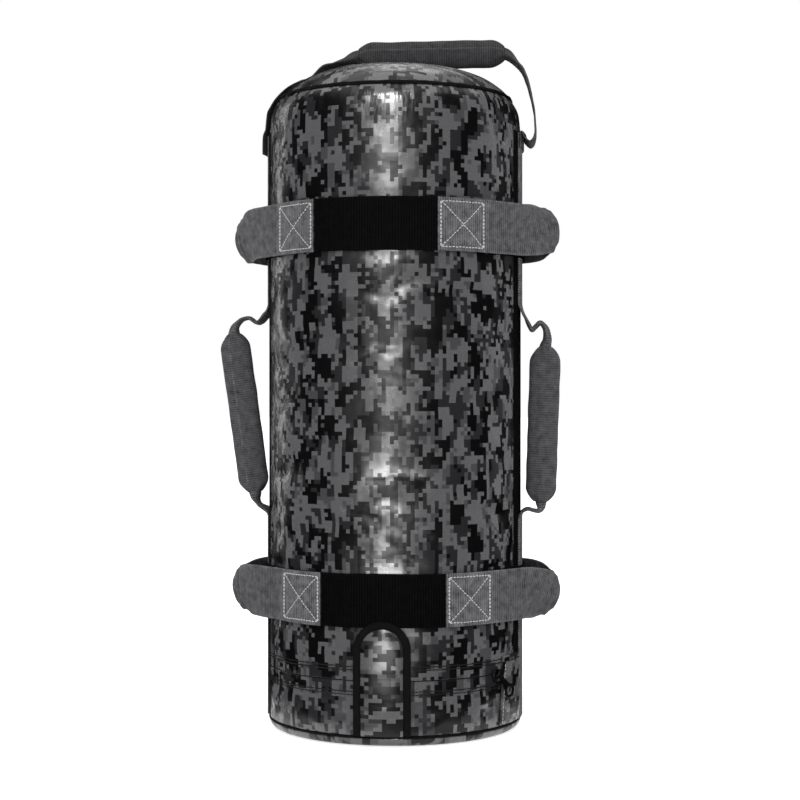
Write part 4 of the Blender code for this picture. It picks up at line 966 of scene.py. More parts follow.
def strap_skin(name, rings, run, across, material, slot, cloth_at, caps_at, pale_until, closed=False,
               paler_patch=None):
    """A strap from rings of points that go over its face and back along its back. `run` and `across`
    are the places of the rings and of their points on the flat map."""
    rows, around = len(rings), len(rings[0])

    def at(row, column):
        return (run[row] + cloth_at[0], across[column % around] + cloth_at[1])

    faces, corners = quads(rows, around, at, closed)
    for row in () if closed else (0, rows - 1):
        for column in range(around // 2 - 1):
            places = (column, column + 1, around - 2 - column, around - 1 - column)
            faces.append(tuple(row * around + place for place in places))
            corners += [(run[row] + caps_at[0], across[place] + caps_at[1]) for place in places]
    points = [point for ring in rings for point in ring]
    piece = make_piece(name, points, faces, corners, material, slot, sharp=58.0)
    # Paler woven edges paint a highlight along them; the second per-row value draws a loop's sewn end
    # paler.
    edge = [1.0 - smooth_step(0.0006, pale_until, max(across) - abs(place)) for place in across]
    point_values(piece, "selvedge", [max(pale, patch_pale) for patch_pale in paler_patch or [0.0] * rows for pale in edge])
    return piece


def webbing_sheet(name, grid, material, slot, thickness=WEBBING, closed=False, cloth_at=(0.0, 0.0),
                  paler_patch=None):
    """A strap from the middle surface of its cloth: rows along it, columns across it."""
    middle = np.array([[tuple(point) for point in row] for row in grid], float)
    along = np.roll(middle, -1, 0) - np.roll(middle, 1, 0) if closed else np.gradient(middle, axis=0)
    normal = np.cross(along, np.gradient(middle, axis=1))
    normal /= np.maximum(np.linalg.norm(normal, axis=2, keepdims=True), 1e-12)
    across = np.linalg.norm(np.diff(middle, axis=1), axis=2).mean(axis=0)
    across = np.concatenate([[0.0], np.cumsum(across)])
    across -= across[-1] / 2.0
    core = middle[:, len(across) // 2]
    steps = np.linalg.norm(np.diff(np.concatenate([core, core[:1]]), axis=0), axis=1)
    run = np.concatenate([[0.0], np.cumsum(steps)])
    half = np.full(len(across), thickness / 2.0)
    half[[0, -1]] *= 0.45
    half[[1, -2]] *= 0.86
    off = normal * half[None, :, None]
    rings = np.concatenate([middle + off, (middle - off)[:, ::-1]], axis=1)
    return strap_skin(name, rings, run, list(across) + list(across[::-1]), material, slot, cloth_at,
                      cloth_at, 0.0021, closed, paler_patch)


def crumple(point, size, amount, seed=0.0):
    """A small smooth shift that stays the same each run."""
    return amount * noise.noise(Vector((point[0] + seed, point[1], point[2])) / size)


# %% [markdown]
# The two bands are closed rings. They run over the sewn side straps, so they lift there by one
# thickness of webbing. The real band is pulled so tight that it dents the bag and waves a little.

# %% Bands
SIDE_STRAP_HALF = degrees(WEBBING_WIDTH / 2.0 / BAG_RADIUS) + 2.0
BAND_RAMP = 2.0
BAND_STEPS = 240
BAND_COLUMNS = across_places(WEBBING_WIDTH / 2.0)


def band_radius(angle):
    """Inner radius of a band: on the shell, and lifted where it crosses a sewn side strap."""
    away = abs(abs(degrees(remainder(angle, tau))) - 90.0)
    share = smooth_step(0.0, 1.0, (SIDE_STRAP_HALF + BAND_RAMP + 0.6 - away) / (BAND_RAMP + 1.0))
    return BAG_RADIUS + WRAP_GAP + (WEBBING + WRAP_GAP) * share


for level, middle in BAND_HEIGHTS.items():
    grid = []
    for step in range(BAND_STEPS):
        angle = column_angle(step, BAND_STEPS)
        radius = band_radius(angle) + WEBBING / 2.0
        wave = crumple(on_bag(angle, radius, middle), 0.05, 0.0007, seed=3.0)
        grid.append([on_bag(angle, radius, middle + across + wave) for across in BAND_COLUMNS])
    band = webbing_sheet(f"black_band_{level}", grid, black_webbing, "black_webbing", closed=True)
    dress(band, "root", f"band_{level}")
    print(band.name, len(band.data.polygons), "faces")

# %% [markdown]
# ## Loops
# Each loop is one strap: a patch sewn on the band, a leg that leaves the bag, a tip, and the same
# back again. At the tip both edges of the strap bend in towards the bag, so that it ends round. A
# bent plate would miss that. Here a line is drawn in plan first, and at each place on it the strap's
# section is set: flat near the bag, and a bowl at the tip, where the cloth crumples in rings. The
# left loops hug the bag a little longer and bow out.
#
# The solids have a sewn end and a free loop that tilts. The piece crosses that joint, and its points
# are lifted as the free loop is, more the further out they lie.

# %% Loop line
PATCH_START = radians(27.3)
LOOP_LEAVES = radians(50.0)
LOOP_MIDDLE_RADIUS = BAG_RADIUS + 2.0 * WRAP_GAP + 1.5 * WEBBING
LOOP_TIP_RADIUS = 0.012
LOOP_AXIS_OUT = 0.134
LINE_STEP = 0.0024
LOOPS = {  # degrees: rise of the free loop, angle up to which it hugs the bag, heading as it leaves
    "upper_left": (-10.0, 54.0, 40.0), "upper_right": (9.0, 50.5, 46.0),
    "lower_left": (-6.0, 57.5, 33.0), "lower_right": (-14.0, 51.0, 45.0)}


def loop_half_line(hug, leave):
    """Half a loop in plan: points (x, y) from the front end of its patch to its tip."""
    line = [on_bag(angle, LOOP_MIDDLE_RADIUS, 0.0)[:2]
            for angle in even_steps(PATCH_START, radians(hug), LINE_STEP / LOOP_MIDDLE_RADIUS)]
    start = Vector(line[-1])
    depth = LOOP_TIP_RADIUS * cos(LOOP_LEAVES)
    out = LOOP_MIDDLE_RADIUS * sin(LOOP_LEAVES)
    end = Vector((out + (LOOP_MIDDLE_RADIUS * cos(LOOP_LEAVES) - depth) / tan(LOOP_LEAVES), -depth))
    reach = (end - start).length
    leave = radians(leave)
    first = Vector((cos(leave), sin(leave))) * reach * 0.9
    last = Vector((cos(LOOP_LEAVES), sin(LOOP_LEAVES))) * reach
    steps = round(reach / LINE_STEP)
    for step in range(1, steps + 1):
        t = step / steps
        line.append(tuple(start * (2 * t ** 3 - 3 * t ** 2 + 1) + first * (t ** 3 - 2 * t ** 2 + t)
                          + end * (3 * t ** 2 - 2 * t ** 3) + last * (t ** 3 - t ** 2)))
    for share in (0.17, 0.33, 0.5, 0.67, 0.83, 1.0):
        heading = LOOP_LEAVES + (pi / 2.0 - LOOP_LEAVES) * share
        x = end.x + LOOP_TIP_RADIUS * (sin(heading) - sin(LOOP_LEAVES))
        line.append((x, -LOOP_TIP_RADIUS * cos(heading)))
    return line


# %% Loop section and rise
BOWL_RADIUS = 0.0295
LOOP_COLUMNS = across_places(WEBBING_WIDTH / 2.0, 14)
CRUMPLE_RING = 0.0085


def bowl_section(across, share):
    """Where a point lies when the strap bends like a bowl: (depth inwards, height)."""
    if share < 0.01:
        return 0.0, across
    radius = BOWL_RADIUS / share
    angle = across / radius
    return radius * (1.0 - cos(angle)), radius * sin(angle)


def turned_to(point, side, depth, yaw):
    """A point of the front right loop moved to another quarter and turned with its band."""
    return Matrix.Rotation(yaw, 3, "Z") @ Vector((side * point[0], depth * point[1], point[2]))


def risen(point, middle, rise):
    """A point lifted as the free loop is, more the further out it lies."""
    share = smooth_step(0.122, 0.146, point.x)
    pivot = Vector((LOOP_AXIS_OUT, 0.0, middle))
    return pivot + Matrix.Rotation(-radians(rise) * share, 3, "Y") @ (point - pivot)


def build_loop(name, level, side):
    middle, yaw = BAND_HEIGHTS[level], BAND_YAWS[level]
    rise, hug, leave = LOOPS[name]
    half = [Vector(point) for point in loop_half_line(hug, leave)]
    line = half + [Vector((point.x, -point.y)) for point in half[-2::-1]]
    grid = []
    for place, centre in enumerate(line):
        along = (line[min(len(line) - 1, place + 1)] - line[max(0, place - 1)]).normalized()
        inward = Vector((-along.y, along.x, 0.0))
        bowl = smooth_step(0.136, 0.162, centre.x)
        free = smooth_step(0.118, 0.140, centre.x)
        from_tip = abs(centre.y) / sin(LOOP_LEAVES)
        row = []
        for across in LOOP_COLUMNS:
            depth, height = bowl_section(across, bowl)
            point = Vector((centre.x, centre.y, middle + height)) + inward * depth
            ring = hypot(from_tip, across * 0.8)
            ringed = smooth_step(0.034, 0.020, ring) * smooth_step(0.006, 0.016, ring) * free
            point -= inward * 0.0008 * ringed * cos(tau * ring / CRUMPLE_RING + 2.0 * across / 0.025)
            point -= inward * crumple(point, 0.021, 0.0013 * free, seed=side + middle * 9.0)
            row.append(turned_to(risen(point, middle, rise), side, 1.0, yaw))
        grid.append(row)
    if side < 0.0:
        grid = [row[::-1] for row in grid]
    piece = webbing_sheet(f"grey_loop_{name}", grid, grey_webbing, "grey_webbing", cloth_at=(side, middle),
                          paler_patch=[1.0 - smooth_step(0.099, 0.104, point.x) for point in line])
    start, end = [tuple(turned_to((1.0, 0.0, 0.0), side, 1.0, yaw) * out + Vector((0.0, 0.0, middle)))
                  for out in (0.128, 0.150)]
    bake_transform(piece)
    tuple(start)
    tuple(end)
    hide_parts(f"loop_{name}", f"loop_end_{name}_front", f"loop_end_{name}_back")
    print(piece.name, len(piece.data.polygons), "faces")


for level in BAND_HEIGHTS:
    for side_name, side in SIDES.items():
        build_loop(f"{level}_{side_name}", level, side)

# %% [markdown]
# ## Side straps and handles
# On each side one strap is sewn down the bag, leaves it, runs through a padded grip and is sewn down
# again above. Seen from the front it is edge-on, so the line of its folds is what shows. Its edges
# are folded together there, which makes it narrower and thicker. One closed ring of points per
# station does both: flat and 50 mm wide on the bag, an oval on the way into the grip.

# %% Folded strap helper
RING_SHARES = (-1.0, -0.93, -0.8, -0.6, -0.4, -0.2, -0.06, 0.06, 0.2, 0.4, 0.6, 0.8, 0.93, 1.0)
RING = [(1.0, share) for share in RING_SHARES] + [(-1.0, share) for share in RING_SHARES[::-1]]
RING_ACROSS = [share * WEBBING_WIDTH / 2.0 for face, share in RING]


def folded_strap(name, stations, side, material, slot, cloth_at, seed):
    """A strap in the XZ plane. A station is (out, height, width, depth, hug): width along Y, depth
    square to the run, and hug 1 where it follows the round bag."""
    rings = []
    run = []
    for place, (out, height, width, depth, hug) in enumerate(stations):
        before, after = stations[max(0, place - 1)], stations[min(len(stations) - 1, place + 1)]
        along = Vector((after[0] - before[0], 0.0, after[1] - before[1])).normalized()
        normal = Vector((-along.z, 0.0, along.x))
        run.append((run[-1] if run else 0.0) + hypot(out - before[0], height - before[1]))
        fold = smooth_step(0.0018, 0.0045, depth)
        loose = (1.0 - hug) * (0.3 + 0.7 * fold)
        ring = []
        for face, share in RING:
            across = share * width / 2.0
            sag = hug * (BAG_RADIUS - sqrt(max(0.0, BAG_RADIUS ** 2 - across ** 2)))
            flat_off = 1.0 if abs(share) < 0.99 else 0.45
            round_off = sqrt(max(0.0, 1.0 - (0.985 * share) ** 2))
            thick = depth / 2.0 * (flat_off * (1.0 - fold) + round_off * fold)
            groove = 0.0010 * fold * exp(-(share / 0.10) ** 2) if face < 0.0 else 0.0
            point = Vector((out - sag, across, height)) + normal * face * (thick - groove)
            point += normal * crumple(point, 0.012, 0.0011 * loose, seed=seed)
            ring.append((side * point.x, point.y, point.z))
        rings.append(ring)
    print(name, len(stations), "stations")
    return strap_skin(name, rings, run, RING_ACROSS, material, slot, cloth_at, (0.0, 0.0), 0.0022)


def millimetres(rows):
    return [tuple(value * MM for value in row) for row in rows]


def within_grip(last, first):
    """Stations in the grip, between the last one before it and the first one after it."""
    return [(last[0] + (first[0] - last[0]) * share, last[1] + (first[1] - last[1]) * share) + last[2:4]
            for share in (0.2, 0.4, 0.6, 0.8)]


# %% Side strap stations
SEWN_MIDDLE = BAG_RADIUS + WRAP_GAP + WEBBING / 2.0
HANDLE_LOWER, HANDLE_UPPER = 0.2110, 0.4105
GRIP_ENDS = {"left": ((0.1635, 0.3880), (0.1415, 0.2300)), "right": ((0.1500, 0.3740), (0.1450, 0.2220))}
# in mm: out, height, width along Y, depth square to the run
LOWER_FOLDS = {
    "left": millimetres([(127.2, 210.2, 44, 2.0), (130.2, 212.9, 36, 3.0), (133.4, 214.4, 29, 4.0),
                         (137.5, 217.5, 24, 4.6), (140.5, 222.5, 18, 7.5), (141.5, 230.0, 12, 13.0),
                         (142.6, 238.0, 8, 14.0)]),
    "right": millimetres([(127.2, 210.6, 44, 2.0), (130.0, 213.2, 36, 3.0), (133.4, 214.2, 29, 3.8),
                          (138.0, 212.6, 26, 4.0), (142.6, 211.6, 20, 5.0), (145.5, 215.2, 15, 7.5),
                          (145.2, 222.0, 11, 12.0), (145.3, 230.0, 8, 14.0)])}
UPPER_FOLDS = {
    "left": millimetres([(162.4, 380.0, 8, 14.0), (163.3, 388.0, 12, 13.0), (161.5, 396.0, 17, 8.0),
                         (155.0, 402.5, 22, 5.0), (147.7, 404.2, 26, 4.4), (143.2, 401.8, 28, 4.2),
                         (138.6, 399.5, 29, 4.0), (134.0, 402.5, 32, 3.6), (130.4, 407.2, 38, 2.8),
                         (127.6, 411.0, 45, 2.0)]),
    "right": millimetres([(149.7, 366.0, 8, 14.0), (150.2, 374.0, 12, 12.0), (151.8, 382.0, 15, 8.5),
                          (150.4, 392.5, 20, 6.0), (145.0, 398.6, 24, 4.6), (140.2, 394.6, 26, 4.4),
                          (136.6, 391.0, 28, 4.2), (133.6, 396.0, 31, 3.8), (130.6, 403.0, 36, 3.0),
                          (127.8, 409.6, 44, 2.0)])}
wall_low = wall_bottom + 0.0006


def sewn_at(heights, out=SEWN_MIDDLE):
    """Flat stations, as the strap lies where it is sewn down."""
    return [(out, height, WEBBING_WIDTH, WEBBING) for height in heights]


def hugging(path):
    """Stations that follow the round bag less, the further they lie off it."""
    return [row + (max(0.0, 1.0 - (row[0] - SEWN_MIDDLE) / 0.006),) for row in path]


for side_name, side in SIDES.items():
    sewn = sewn_at(even_steps(wall_low, HANDLE_LOWER - 0.004, 0.004))
    lower = smooth_path(sewn[-1:] + LOWER_FOLDS[side_name], 5)[1:]
    upper = smooth_path(UPPER_FOLDS[side_name] + sewn_at([HANDLE_UPPER + 0.006]), 5)
    above = sewn_at(even_steps(HANDLE_UPPER + 0.006, STRAIGHT_TOP - 0.001, 0.004)[1:])
    stations = hugging(sewn + lower) + [row + (0.0,) for row in within_grip(lower[-1], upper[0])]
    strap = folded_strap(f"side_webbing_{side_name}", stations + hugging(upper + above), side, grey_webbing,
                         "grey_webbing", cloth_at=(0.3 * side, 0.0), seed=side)
    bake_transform(strap)
    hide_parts(f"side_strap_lower_{side_name}", f"side_handle_{side_name}_strap",
                f"side_strap_upper_{side_name}")

# %% [markdown]
# The top handle's strap is darker. Its left end lies over the shoulder, and its right end hangs in a
# loose fold before it is sewn down.

# %% Top strap
TOP_GRIP_LEFT, TOP_GRIP_RIGHT, TOP_GRIP_HEIGHT = -0.036, 0.109, 0.666
OVER_STRAP = SEWN_MIDDLE + WEBBING + 0.0002
PULLED_IN = OVER_STRAP - 0.0010
OVER_SHOULDER = WEBBING / 2.0 + 0.0009 + WRAP_GAP
left = sewn_at([0.566, 0.576], -PULLED_IN) + sewn_at([0.586], -PULLED_IN + 0.0005)
for share in (0.985, 0.965, 0.935, 0.905, 0.86, 0.80, 0.73, 0.66):
    radius = BAG_RADIUS * share
    left.append((-radius - OVER_SHOULDER * share ** 4, shoulder_height(radius) + OVER_SHOULDER,
                 WEBBING_WIDTH * (1.0 - 0.3 * smooth_step(0.8, 0.6, share)), WEBBING))
left += millimetres([(-70.0, 653.6, 40, 2.6), (-58.0, 657.8, 30, 5.0), (-47.0, 662.0, 19, 9.5),
                     (-37.0, 665.4, 12, 14.0), (-28.0, 666.0, 8, 15.0)])
right = millimetres([(101.0, 666.0, 8, 15.0), (109.0, 665.6, 10, 13.0), (114.0, 663.0, 15, 9.0),
                     (121.5, 656.0, 28, 5.0), (129.5, 644.5, 42, 3.4), (134.8, 627.0, 49, 2.4),
                     (138.6, 609.0, 50, 1.8), (139.6, 598.5, 50, 1.7), (140.0, 590.3, 50, 1.6),
                     (139.9, 584.0, 50, 1.6), (138.2, 578.2, 50, 1.6), (134.6, 575.4, 50, 1.6),
                     (131.6, 579.2, 50, 1.6), (129.9, 584.4, 50, 1.6)])
left = smooth_path(left, 4)
right = smooth_path(right + sewn_at([0.5845, 0.578, 0.570], OVER_STRAP), 5)


def top_hug(out, height):
    """1 where the strap is sewn on the round side, 0 over the shoulder and in the free fold."""
    return smooth_step(0.592, 0.584, height) * smooth_step(0.1345, 0.1300, abs(out))


stations = [row + (top_hug(row[0], row[1]),) for row in left + within_grip(left[-1], right[0]) + right]
top_strap = folded_strap("top_webbing", stations, 1.0, dark_webbing, "dark_webbing",
                         cloth_at=(0.7, 0.0), seed=4.0)
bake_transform(top_strap)
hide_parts("top_handle_strap")

# %% [markdown]
# ## Grips
# A grip is a piece of webbing wrapped round the strap and a foam core, and sewn shut along its
# length. Its free edge shows as a line. A closed tube would have no such edge, so the sleeve is a
# webbing sheet whose section is a spiral: it starts under its own edge, goes once round, and ends on
# top. Both ends are open and pinched, and the strap comes out of them.

# %% Grip sleeve
GRIP_SHOULDER = 0.014
GRIP_NECK = 0.0055
GRIP_HALF_THICK = 0.0064
GRIP_CLOTH = 0.0013
OVERLAP = radians(62.0)
WHOLE_TURN = tau + OVERLAP
SLEEVE_PLACES = [0.0, 0.006, 0.013] + [share / 46.0 for share in range(1, 46)]
SLEEVE_PLACES += [1.0 - edge / 0.078 for edge in (0.0028, 0.0014, 0.0005)] + [1.0]
MOUTH_SHARES = (0.0, 0.008, 0.02, 0.04)


def grip_sleeve(name, body, node, start, end, half_depth, seam_at, turn, material, slot, ridge=0.0,
                seed=0.0):
    """A wrapped sleeve from start to end in the XZ plane. `seam_at` is the place of its free edge round
    the section in degrees, where 0 is the depth direction and 270 faces the front."""
    start, end = Vector((start[0], 0.0, start[1])), Vector((end[0], 0.0, end[1]))
    length = (end - start).length
    along = (end - start) / length
    depth_way = Vector((-along.z, 0.0, along.x))
    rows = [length * share for share in MOUTH_SHARES] + even_steps(0.06 * length, 0.94 * length, 0.003)
    rows += [length * (1.0 - share) for share in MOUTH_SHARES[::-1]]
    grid = []
    for reach in rows:
        near = min(reach, length - reach)
        full = sin(pi / 2.0 * min(1.0, near / GRIP_SHOULDER)) ** 0.8
        half = GRIP_NECK + (half_depth - GRIP_NECK) * full
        thick = GRIP_HALF_THICK * (0.86 + 0.14 * full)
        row = []
        for place in SLEEVE_PLACES:
            angle = radians(seam_at) + turn * WHOLE_TURN * (1.0 - place)
            under = 1.0 - smooth_step(0.0, OVERLAP / WHOLE_TURN * 1.15, place)
            lift = -0.0019 * under + 0.0006 * smooth_step(1.0 - OVERLAP / WHOLE_TURN, 1.0, place)
            depth = (half + lift) * copysign(abs(cos(angle)) ** 0.75, cos(angle))
            side = (thick + lift) * copysign(abs(sin(angle)) ** 0.9, sin(angle))
            side -= ridge * max(0.0, -sin(angle)) * exp(-(depth / 0.0035) ** 2)
            pinch = (1.0 - full) * 0.0011 * cos(5.0 * angle + seed)
            off = depth_way * depth + Vector((0.0, side, 0.0))
            point = start + along * reach + depth_way * depth + Vector((0.0, side, 0.0))
            row.append(point + off.normalized() * (pinch + crumple(point, 0.018, 0.0006, seed=seed + 0.3)))
        grid.append(row)
    sleeve = webbing_sheet(name, grid, material, slot, thickness=GRIP_CLOTH, cloth_at=(seed, 0.0))
    dress(sleeve, body, node)
    return sleeve


# %% [markdown]
# The foam cores, and later the wadding, the sand and the ties, lie hidden, but they are real pieces.
# Each is a copy of its solid: bevelled, subdivided, and uneven by a fraction of a millimetre. Rigid
# metal gets the same bevel, only finer, and no unevenness.

# %% Rounded copies of solids
def solid_copy(node, name, material, slot, bevel=0.0010, segments=2, merge=1.0, edge=35.0, sharp=60.0,
               uneven=0.0003, size=0.012):
    """A rounded copy of a solid's mesh that replaces it. Angles are in degrees."""
    mesh = frame["nodes"][node].data.copy()
    mesh.name = name
    mesh.materials.clear()
    mesh.materials.append(material)
    piece = add_object(name, mesh)
    with edited(mesh) as builder:
        bmesh.ops.remove_doubles(builder, verts=builder.verts, dist=1e-6)
        bmesh.ops.dissolve_limit(builder, angle_limit=radians(merge), verts=builder.verts,
                                 edges=builder.edges)
    add_modifier(piece, "rounded_edges", "BEVEL", width=bevel, segments=segments, limit_method="ANGLE",
                 angle_limit=radians(edge))
    if uneven:
        add_modifier(piece, "smoothing", "SUBSURF", subdivision_type="SIMPLE", levels=1, render_levels=1)
    bake_modifiers(piece)
    for vert in piece.data.vertices if uneven else ():
        vert.co = vert.co - vert.normal * uneven * (0.5 + 0.5 * noise.noise(vert.co / size))
    smooth_faces(piece.data, sharp)
    return dress(piece, frame["nodes"][node]["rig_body"], node)


# %% Grips in place
for side_name, side, seam_at, ridge in (("left", -1.0, 253.0, 0.0), ("right", 1.0, 80.0, 0.0011)):
    top, bottom = [(side * out, height) for out, height in GRIP_ENDS[side_name]]
    handle = f"side_handle_{side_name}"
    grip_sleeve(f"side_grip_{side_name}", handle, f"{handle}_grip", top, bottom, 0.0146, seam_at, 1.0,
                grip_webbing, "grey_webbing", ridge=ridge, seed=side)
    solid_copy(f"{handle}_core", f"side_foam_{side_name}", grey_foam, "handle_foam")
top_ends = [(out, TOP_GRIP_HEIGHT) for out in (TOP_GRIP_LEFT, TOP_GRIP_RIGHT)]
sleeve = grip_sleeve("top_grip", "top_handle", "top_handle_grip", *top_ends, 0.0133, 288.0, -1.0,
                     dark_webbing, "dark_webbing", seed=2.0)
solid_copy("top_handle_core", "top_foam", grey_foam, "handle_foam")
print("grip sleeves:", len(sleeve.data.polygons), "faces each")

# %% [markdown]
# ## Painted shade strips and zip
# Under each side strap lies a thin black sheet, wider than the strap, so it shows as a black margin,
# and bare between the sewn ends of the handle: painted shade and dark reflection along the bag's sides.

# %% Panels wrapped round the bag
def wrapped_sheet(name, rows, material, slot, thickness, step=0.0022, wander=0.0, seed=0.0):
    """A sheet on the round bag. A row is (height, left angle, right angle, inner radius)."""
    widest = max(right - left for height, left, right, inner in rows) * BAG_RADIUS
    count = max(4, round(widest / step))
    edge = [0.0, 0.0004 / widest, 0.0012 / widest]
    shares = edge + [place / count for place in range(1, count)] + [1.0 - share for share in edge[::-1]]
    grid = []
    for height, left, right, inner in rows:
        row = []
        for share in shares:
            angle, radius = left + (right - left) * share, inner + thickness / 2.0
            radius += max(0.0, crumple(on_bag(angle, radius, height), 0.016, wander, seed=seed))
            row.append(on_bag(angle, radius, height))
        grid.append(row)
    return webbing_sheet(name, grid, material, slot, thickness=thickness, cloth_at=(seed, seed))


# %% Painted shade strips
SHADE_STRIP_HALF = radians(17.6)
# Thin black sheets at the sides paint the shade and dark reflection along the bag's edges.
for side_name, side in SIDES.items():
    rows = [(height, side * pi / 2.0 - SHADE_STRIP_HALF, side * pi / 2.0 + SHADE_STRIP_HALF, BAG_RADIUS + 0.00008)
            for height in even_steps(wall_low + 0.0004, STRAIGHT_TOP, 0.006)]
    tape = wrapped_sheet(f"side_shade_strip_{side_name}", rows, seam_binding, "seam_binding", 0.00028, step=0.004)
    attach(tape, "root")

# %% [markdown]
# The zip is a covered one: the cloth's two lips nearly meet over the coils. Behind them lie two woven
# tapes, and on them two nylon coils. A coil could be a bumpy bar, but in the open zip its turns
# show, so each is a real spiral of wire, flattened to the width and depth of the solid it replaces.

# %% Zip tapes and coils
COIL_PITCH = 0.0012
COIL_WIRE = 0.00036
COIL_SIDES = 5
COIL_STEPS = 10
COIL_RADIUS = 0.1242
COIL_ENDS = 0.0046 / BAG_RADIUS
TAPE_INNER = 0.1221
ZIP_ROWS = {"upper": 1.0, "lower": -1.0}


def close_ends(faces, corners, first, rows, count):
    """Close both ends of a tube of points with a face."""
    last = first + (rows - 1) * count
    faces += [tuple(first + corner for corner in range(count))[::-1],
              tuple(last + corner for corner in range(count))]
    corners += [(0.0, 0.0)] * (2 * count)


def wire(name, path, radius, material, slot):
    """A round wire along a path, without a twist between its rings of points."""
    points, faces, corners = [], [], []
    for place, point in enumerate(path):
        along = (path[min(len(path) - 1, place + 1)] - path[max(0, place - 1)]).normalized()
        first = along.orthogonal().normalized()
        second = along.cross(first)
        for corner in range(COIL_SIDES):
            angle = tau * corner / COIL_SIDES
            points.append(point + (first * cos(angle) + second * sin(angle)) * radius)
    for place in range(len(path) - 1):
        here, ahead = place * COIL_SIDES, (place + 1) * COIL_SIDES
        near = min(range(COIL_SIDES), key=lambda shift: (points[ahead + shift] - points[here]).length)
        x = place * 0.0005
        for corner in range(COIL_SIDES):
            after, y = corner + 1, corner * 0.0004
            faces.append((here + corner, here + after % COIL_SIDES, ahead + (near + after) % COIL_SIDES,
                          ahead + (near + corner) % COIL_SIDES))
            corners += [(x, y), (x, y + 0.0004), (x + 0.0005, y + 0.0004), (x + 0.0005, y)]
    close_ends(faces, corners, 0, len(path), COIL_SIDES)
    return make_piece(name, points, faces, corners, material, slot)


for row_name, row in ZIP_ROWS.items():
    low, high = sorted((ZIP_HEIGHT + row * 0.00015, ZIP_HEIGHT + row * 0.01515))
    rows = [(height, ZIP_LEFT, ZIP_RIGHT, TAPE_INNER) for height in even_steps(low, high, 0.0015)]
    tape = wrapped_sheet(f"woven_zip_tape_{row_name}", rows, zip_tape_cloth, "zip_tape", 0.0010)
    dress(tape, "root", f"zip_tape_{row_name}")

    left, right = ZIP_LEFT + COIL_ENDS, ZIP_RIGHT - COIL_ENDS
    turns = int((right - left) * BAG_RADIUS / COIL_PITCH)
    path = []
    for step in range(turns * COIL_STEPS + 1):
        turn_angle = tau * step / COIL_STEPS
        angle = left + (right - left) * step / (turns * COIL_STEPS)
        height = ZIP_HEIGHT + row * 0.00145 + 0.00094 * row * cos(turn_angle)
        path.append(Vector(on_bag(angle, COIL_RADIUS + 0.00043 * sin(turn_angle), height)))
    coil = wire(f"nylon_coil_{row_name}", path, COIL_WIRE, nylon_coil, "zip_coil")
    dress(coil, "root", f"zip_coil_{row_name}")
    print(coil.name, turns, "turns")

# %% [markdown]
# The stops, slider and pull are small metal parts. Their solids have the right shape, but sharp
# edges. Copies with a fine bevel catch a line of light along each edge, as cast metal does.

# %% Metal parts
CAST = {"segments": 3, "merge": 2.0, "edge": 30.0, "sharp": 50.0, "uneven": 0.0}
solid_copy("zip_slider", "cast_zip_slider", dark_metal, "zip_metal", 0.00035, **CAST)
pull = solid_copy("zip_pull", "cast_zip_pull", dark_metal, "zip_metal", 0.00030, **CAST)
for side_name in SIDES:
    stop = f"zip_stop_{side_name}"
    solid_copy(stop, f"pressed_{stop}", dark_metal, "zip_metal", 0.00030, **CAST)

# %% [markdown]
# The real pull is a broad tab that ends in an open eye. The solid gives its place, its hinge and its
# slant, and here the tab is widened about its hinge and its eye is opened.

# %% Pull tab
PULL_GROWS = 1.20
EYE_MIDDLE = 0.0192 * PULL_GROWS
EYE_REACH = 0.0031
EYE_OPENS = 0.0022
joint = next(joint for joint in frame["joints"] if joint["name"] == "zip_pull_turn")
hinge, across_tab = Vector(joint["pos_m"]), Vector(joint["axis"])
outward = Vector(on_bag(atan2(hinge.x, -hinge.y), 1.0, 0.0))
along_tab = outward.cross(across_tab).normalized()
if along_tab.z > 0.0:
    along_tab.negate()
for vert in pull.data.vertices:
    local = vert.co - hinge
    lift = local.dot(outward)
    down, aside = local.dot(along_tab) * PULL_GROWS, local.dot(across_tab) * PULL_GROWS
    from_eye = hypot(down - EYE_MIDDLE, aside)
    if from_eye < EYE_REACH:
        wider = (from_eye + EYE_OPENS) / max(1e-6, from_eye)
        down = EYE_MIDDLE + (down - EYE_MIDDLE) * wider
        aside *= wider
    vert.co = hinge + outward * lift + along_tab * down + across_tab * aside
print("pull tab", len(pull.data.vertices), "points")

# %% [markdown]
# ## Flap and end patch
# The security flap is one layer of coated cloth, slightly padded, with black tape folded round its
# edge. A plate with a border would look stiff. Its panel is crowned between the tape's inner edges,
# so that it catches the front light from top to bottom, and the tape is a rounded band that follows
# the outline. Panel and tape keep the place and lean of their solids.

# %% Flap outline
FLAP_BOTTOM, FLAP_LEANS_UNTIL = 0.010, 0.060
FLAP_BASE_RADIUS, FLAP_FACE_RADIUS = 0.1262, 0.1274
FLAP_CLOTH = 0.0012
FLAP_ARC_MIDDLE = 0.08975
FLAP_CROWN = 0.0030
FLAP_SIDE_STEPS = 12
BINDING_LINE, BINDING_WIDE, BINDING_THICK = 0.0232, 0.0075, 0.0022
PANEL_REACH = BINDING_LINE - BINDING_WIDE / 2.0 + 0.0012


def flap_radius(height):
    share = min(1.0, max(0.0, (height - FLAP_BOTTOM) / (FLAP_LEANS_UNTIL - FLAP_BOTTOM)))
    return FLAP_BASE_RADIUS + (FLAP_FACE_RADIUS - FLAP_BASE_RADIUS) * share


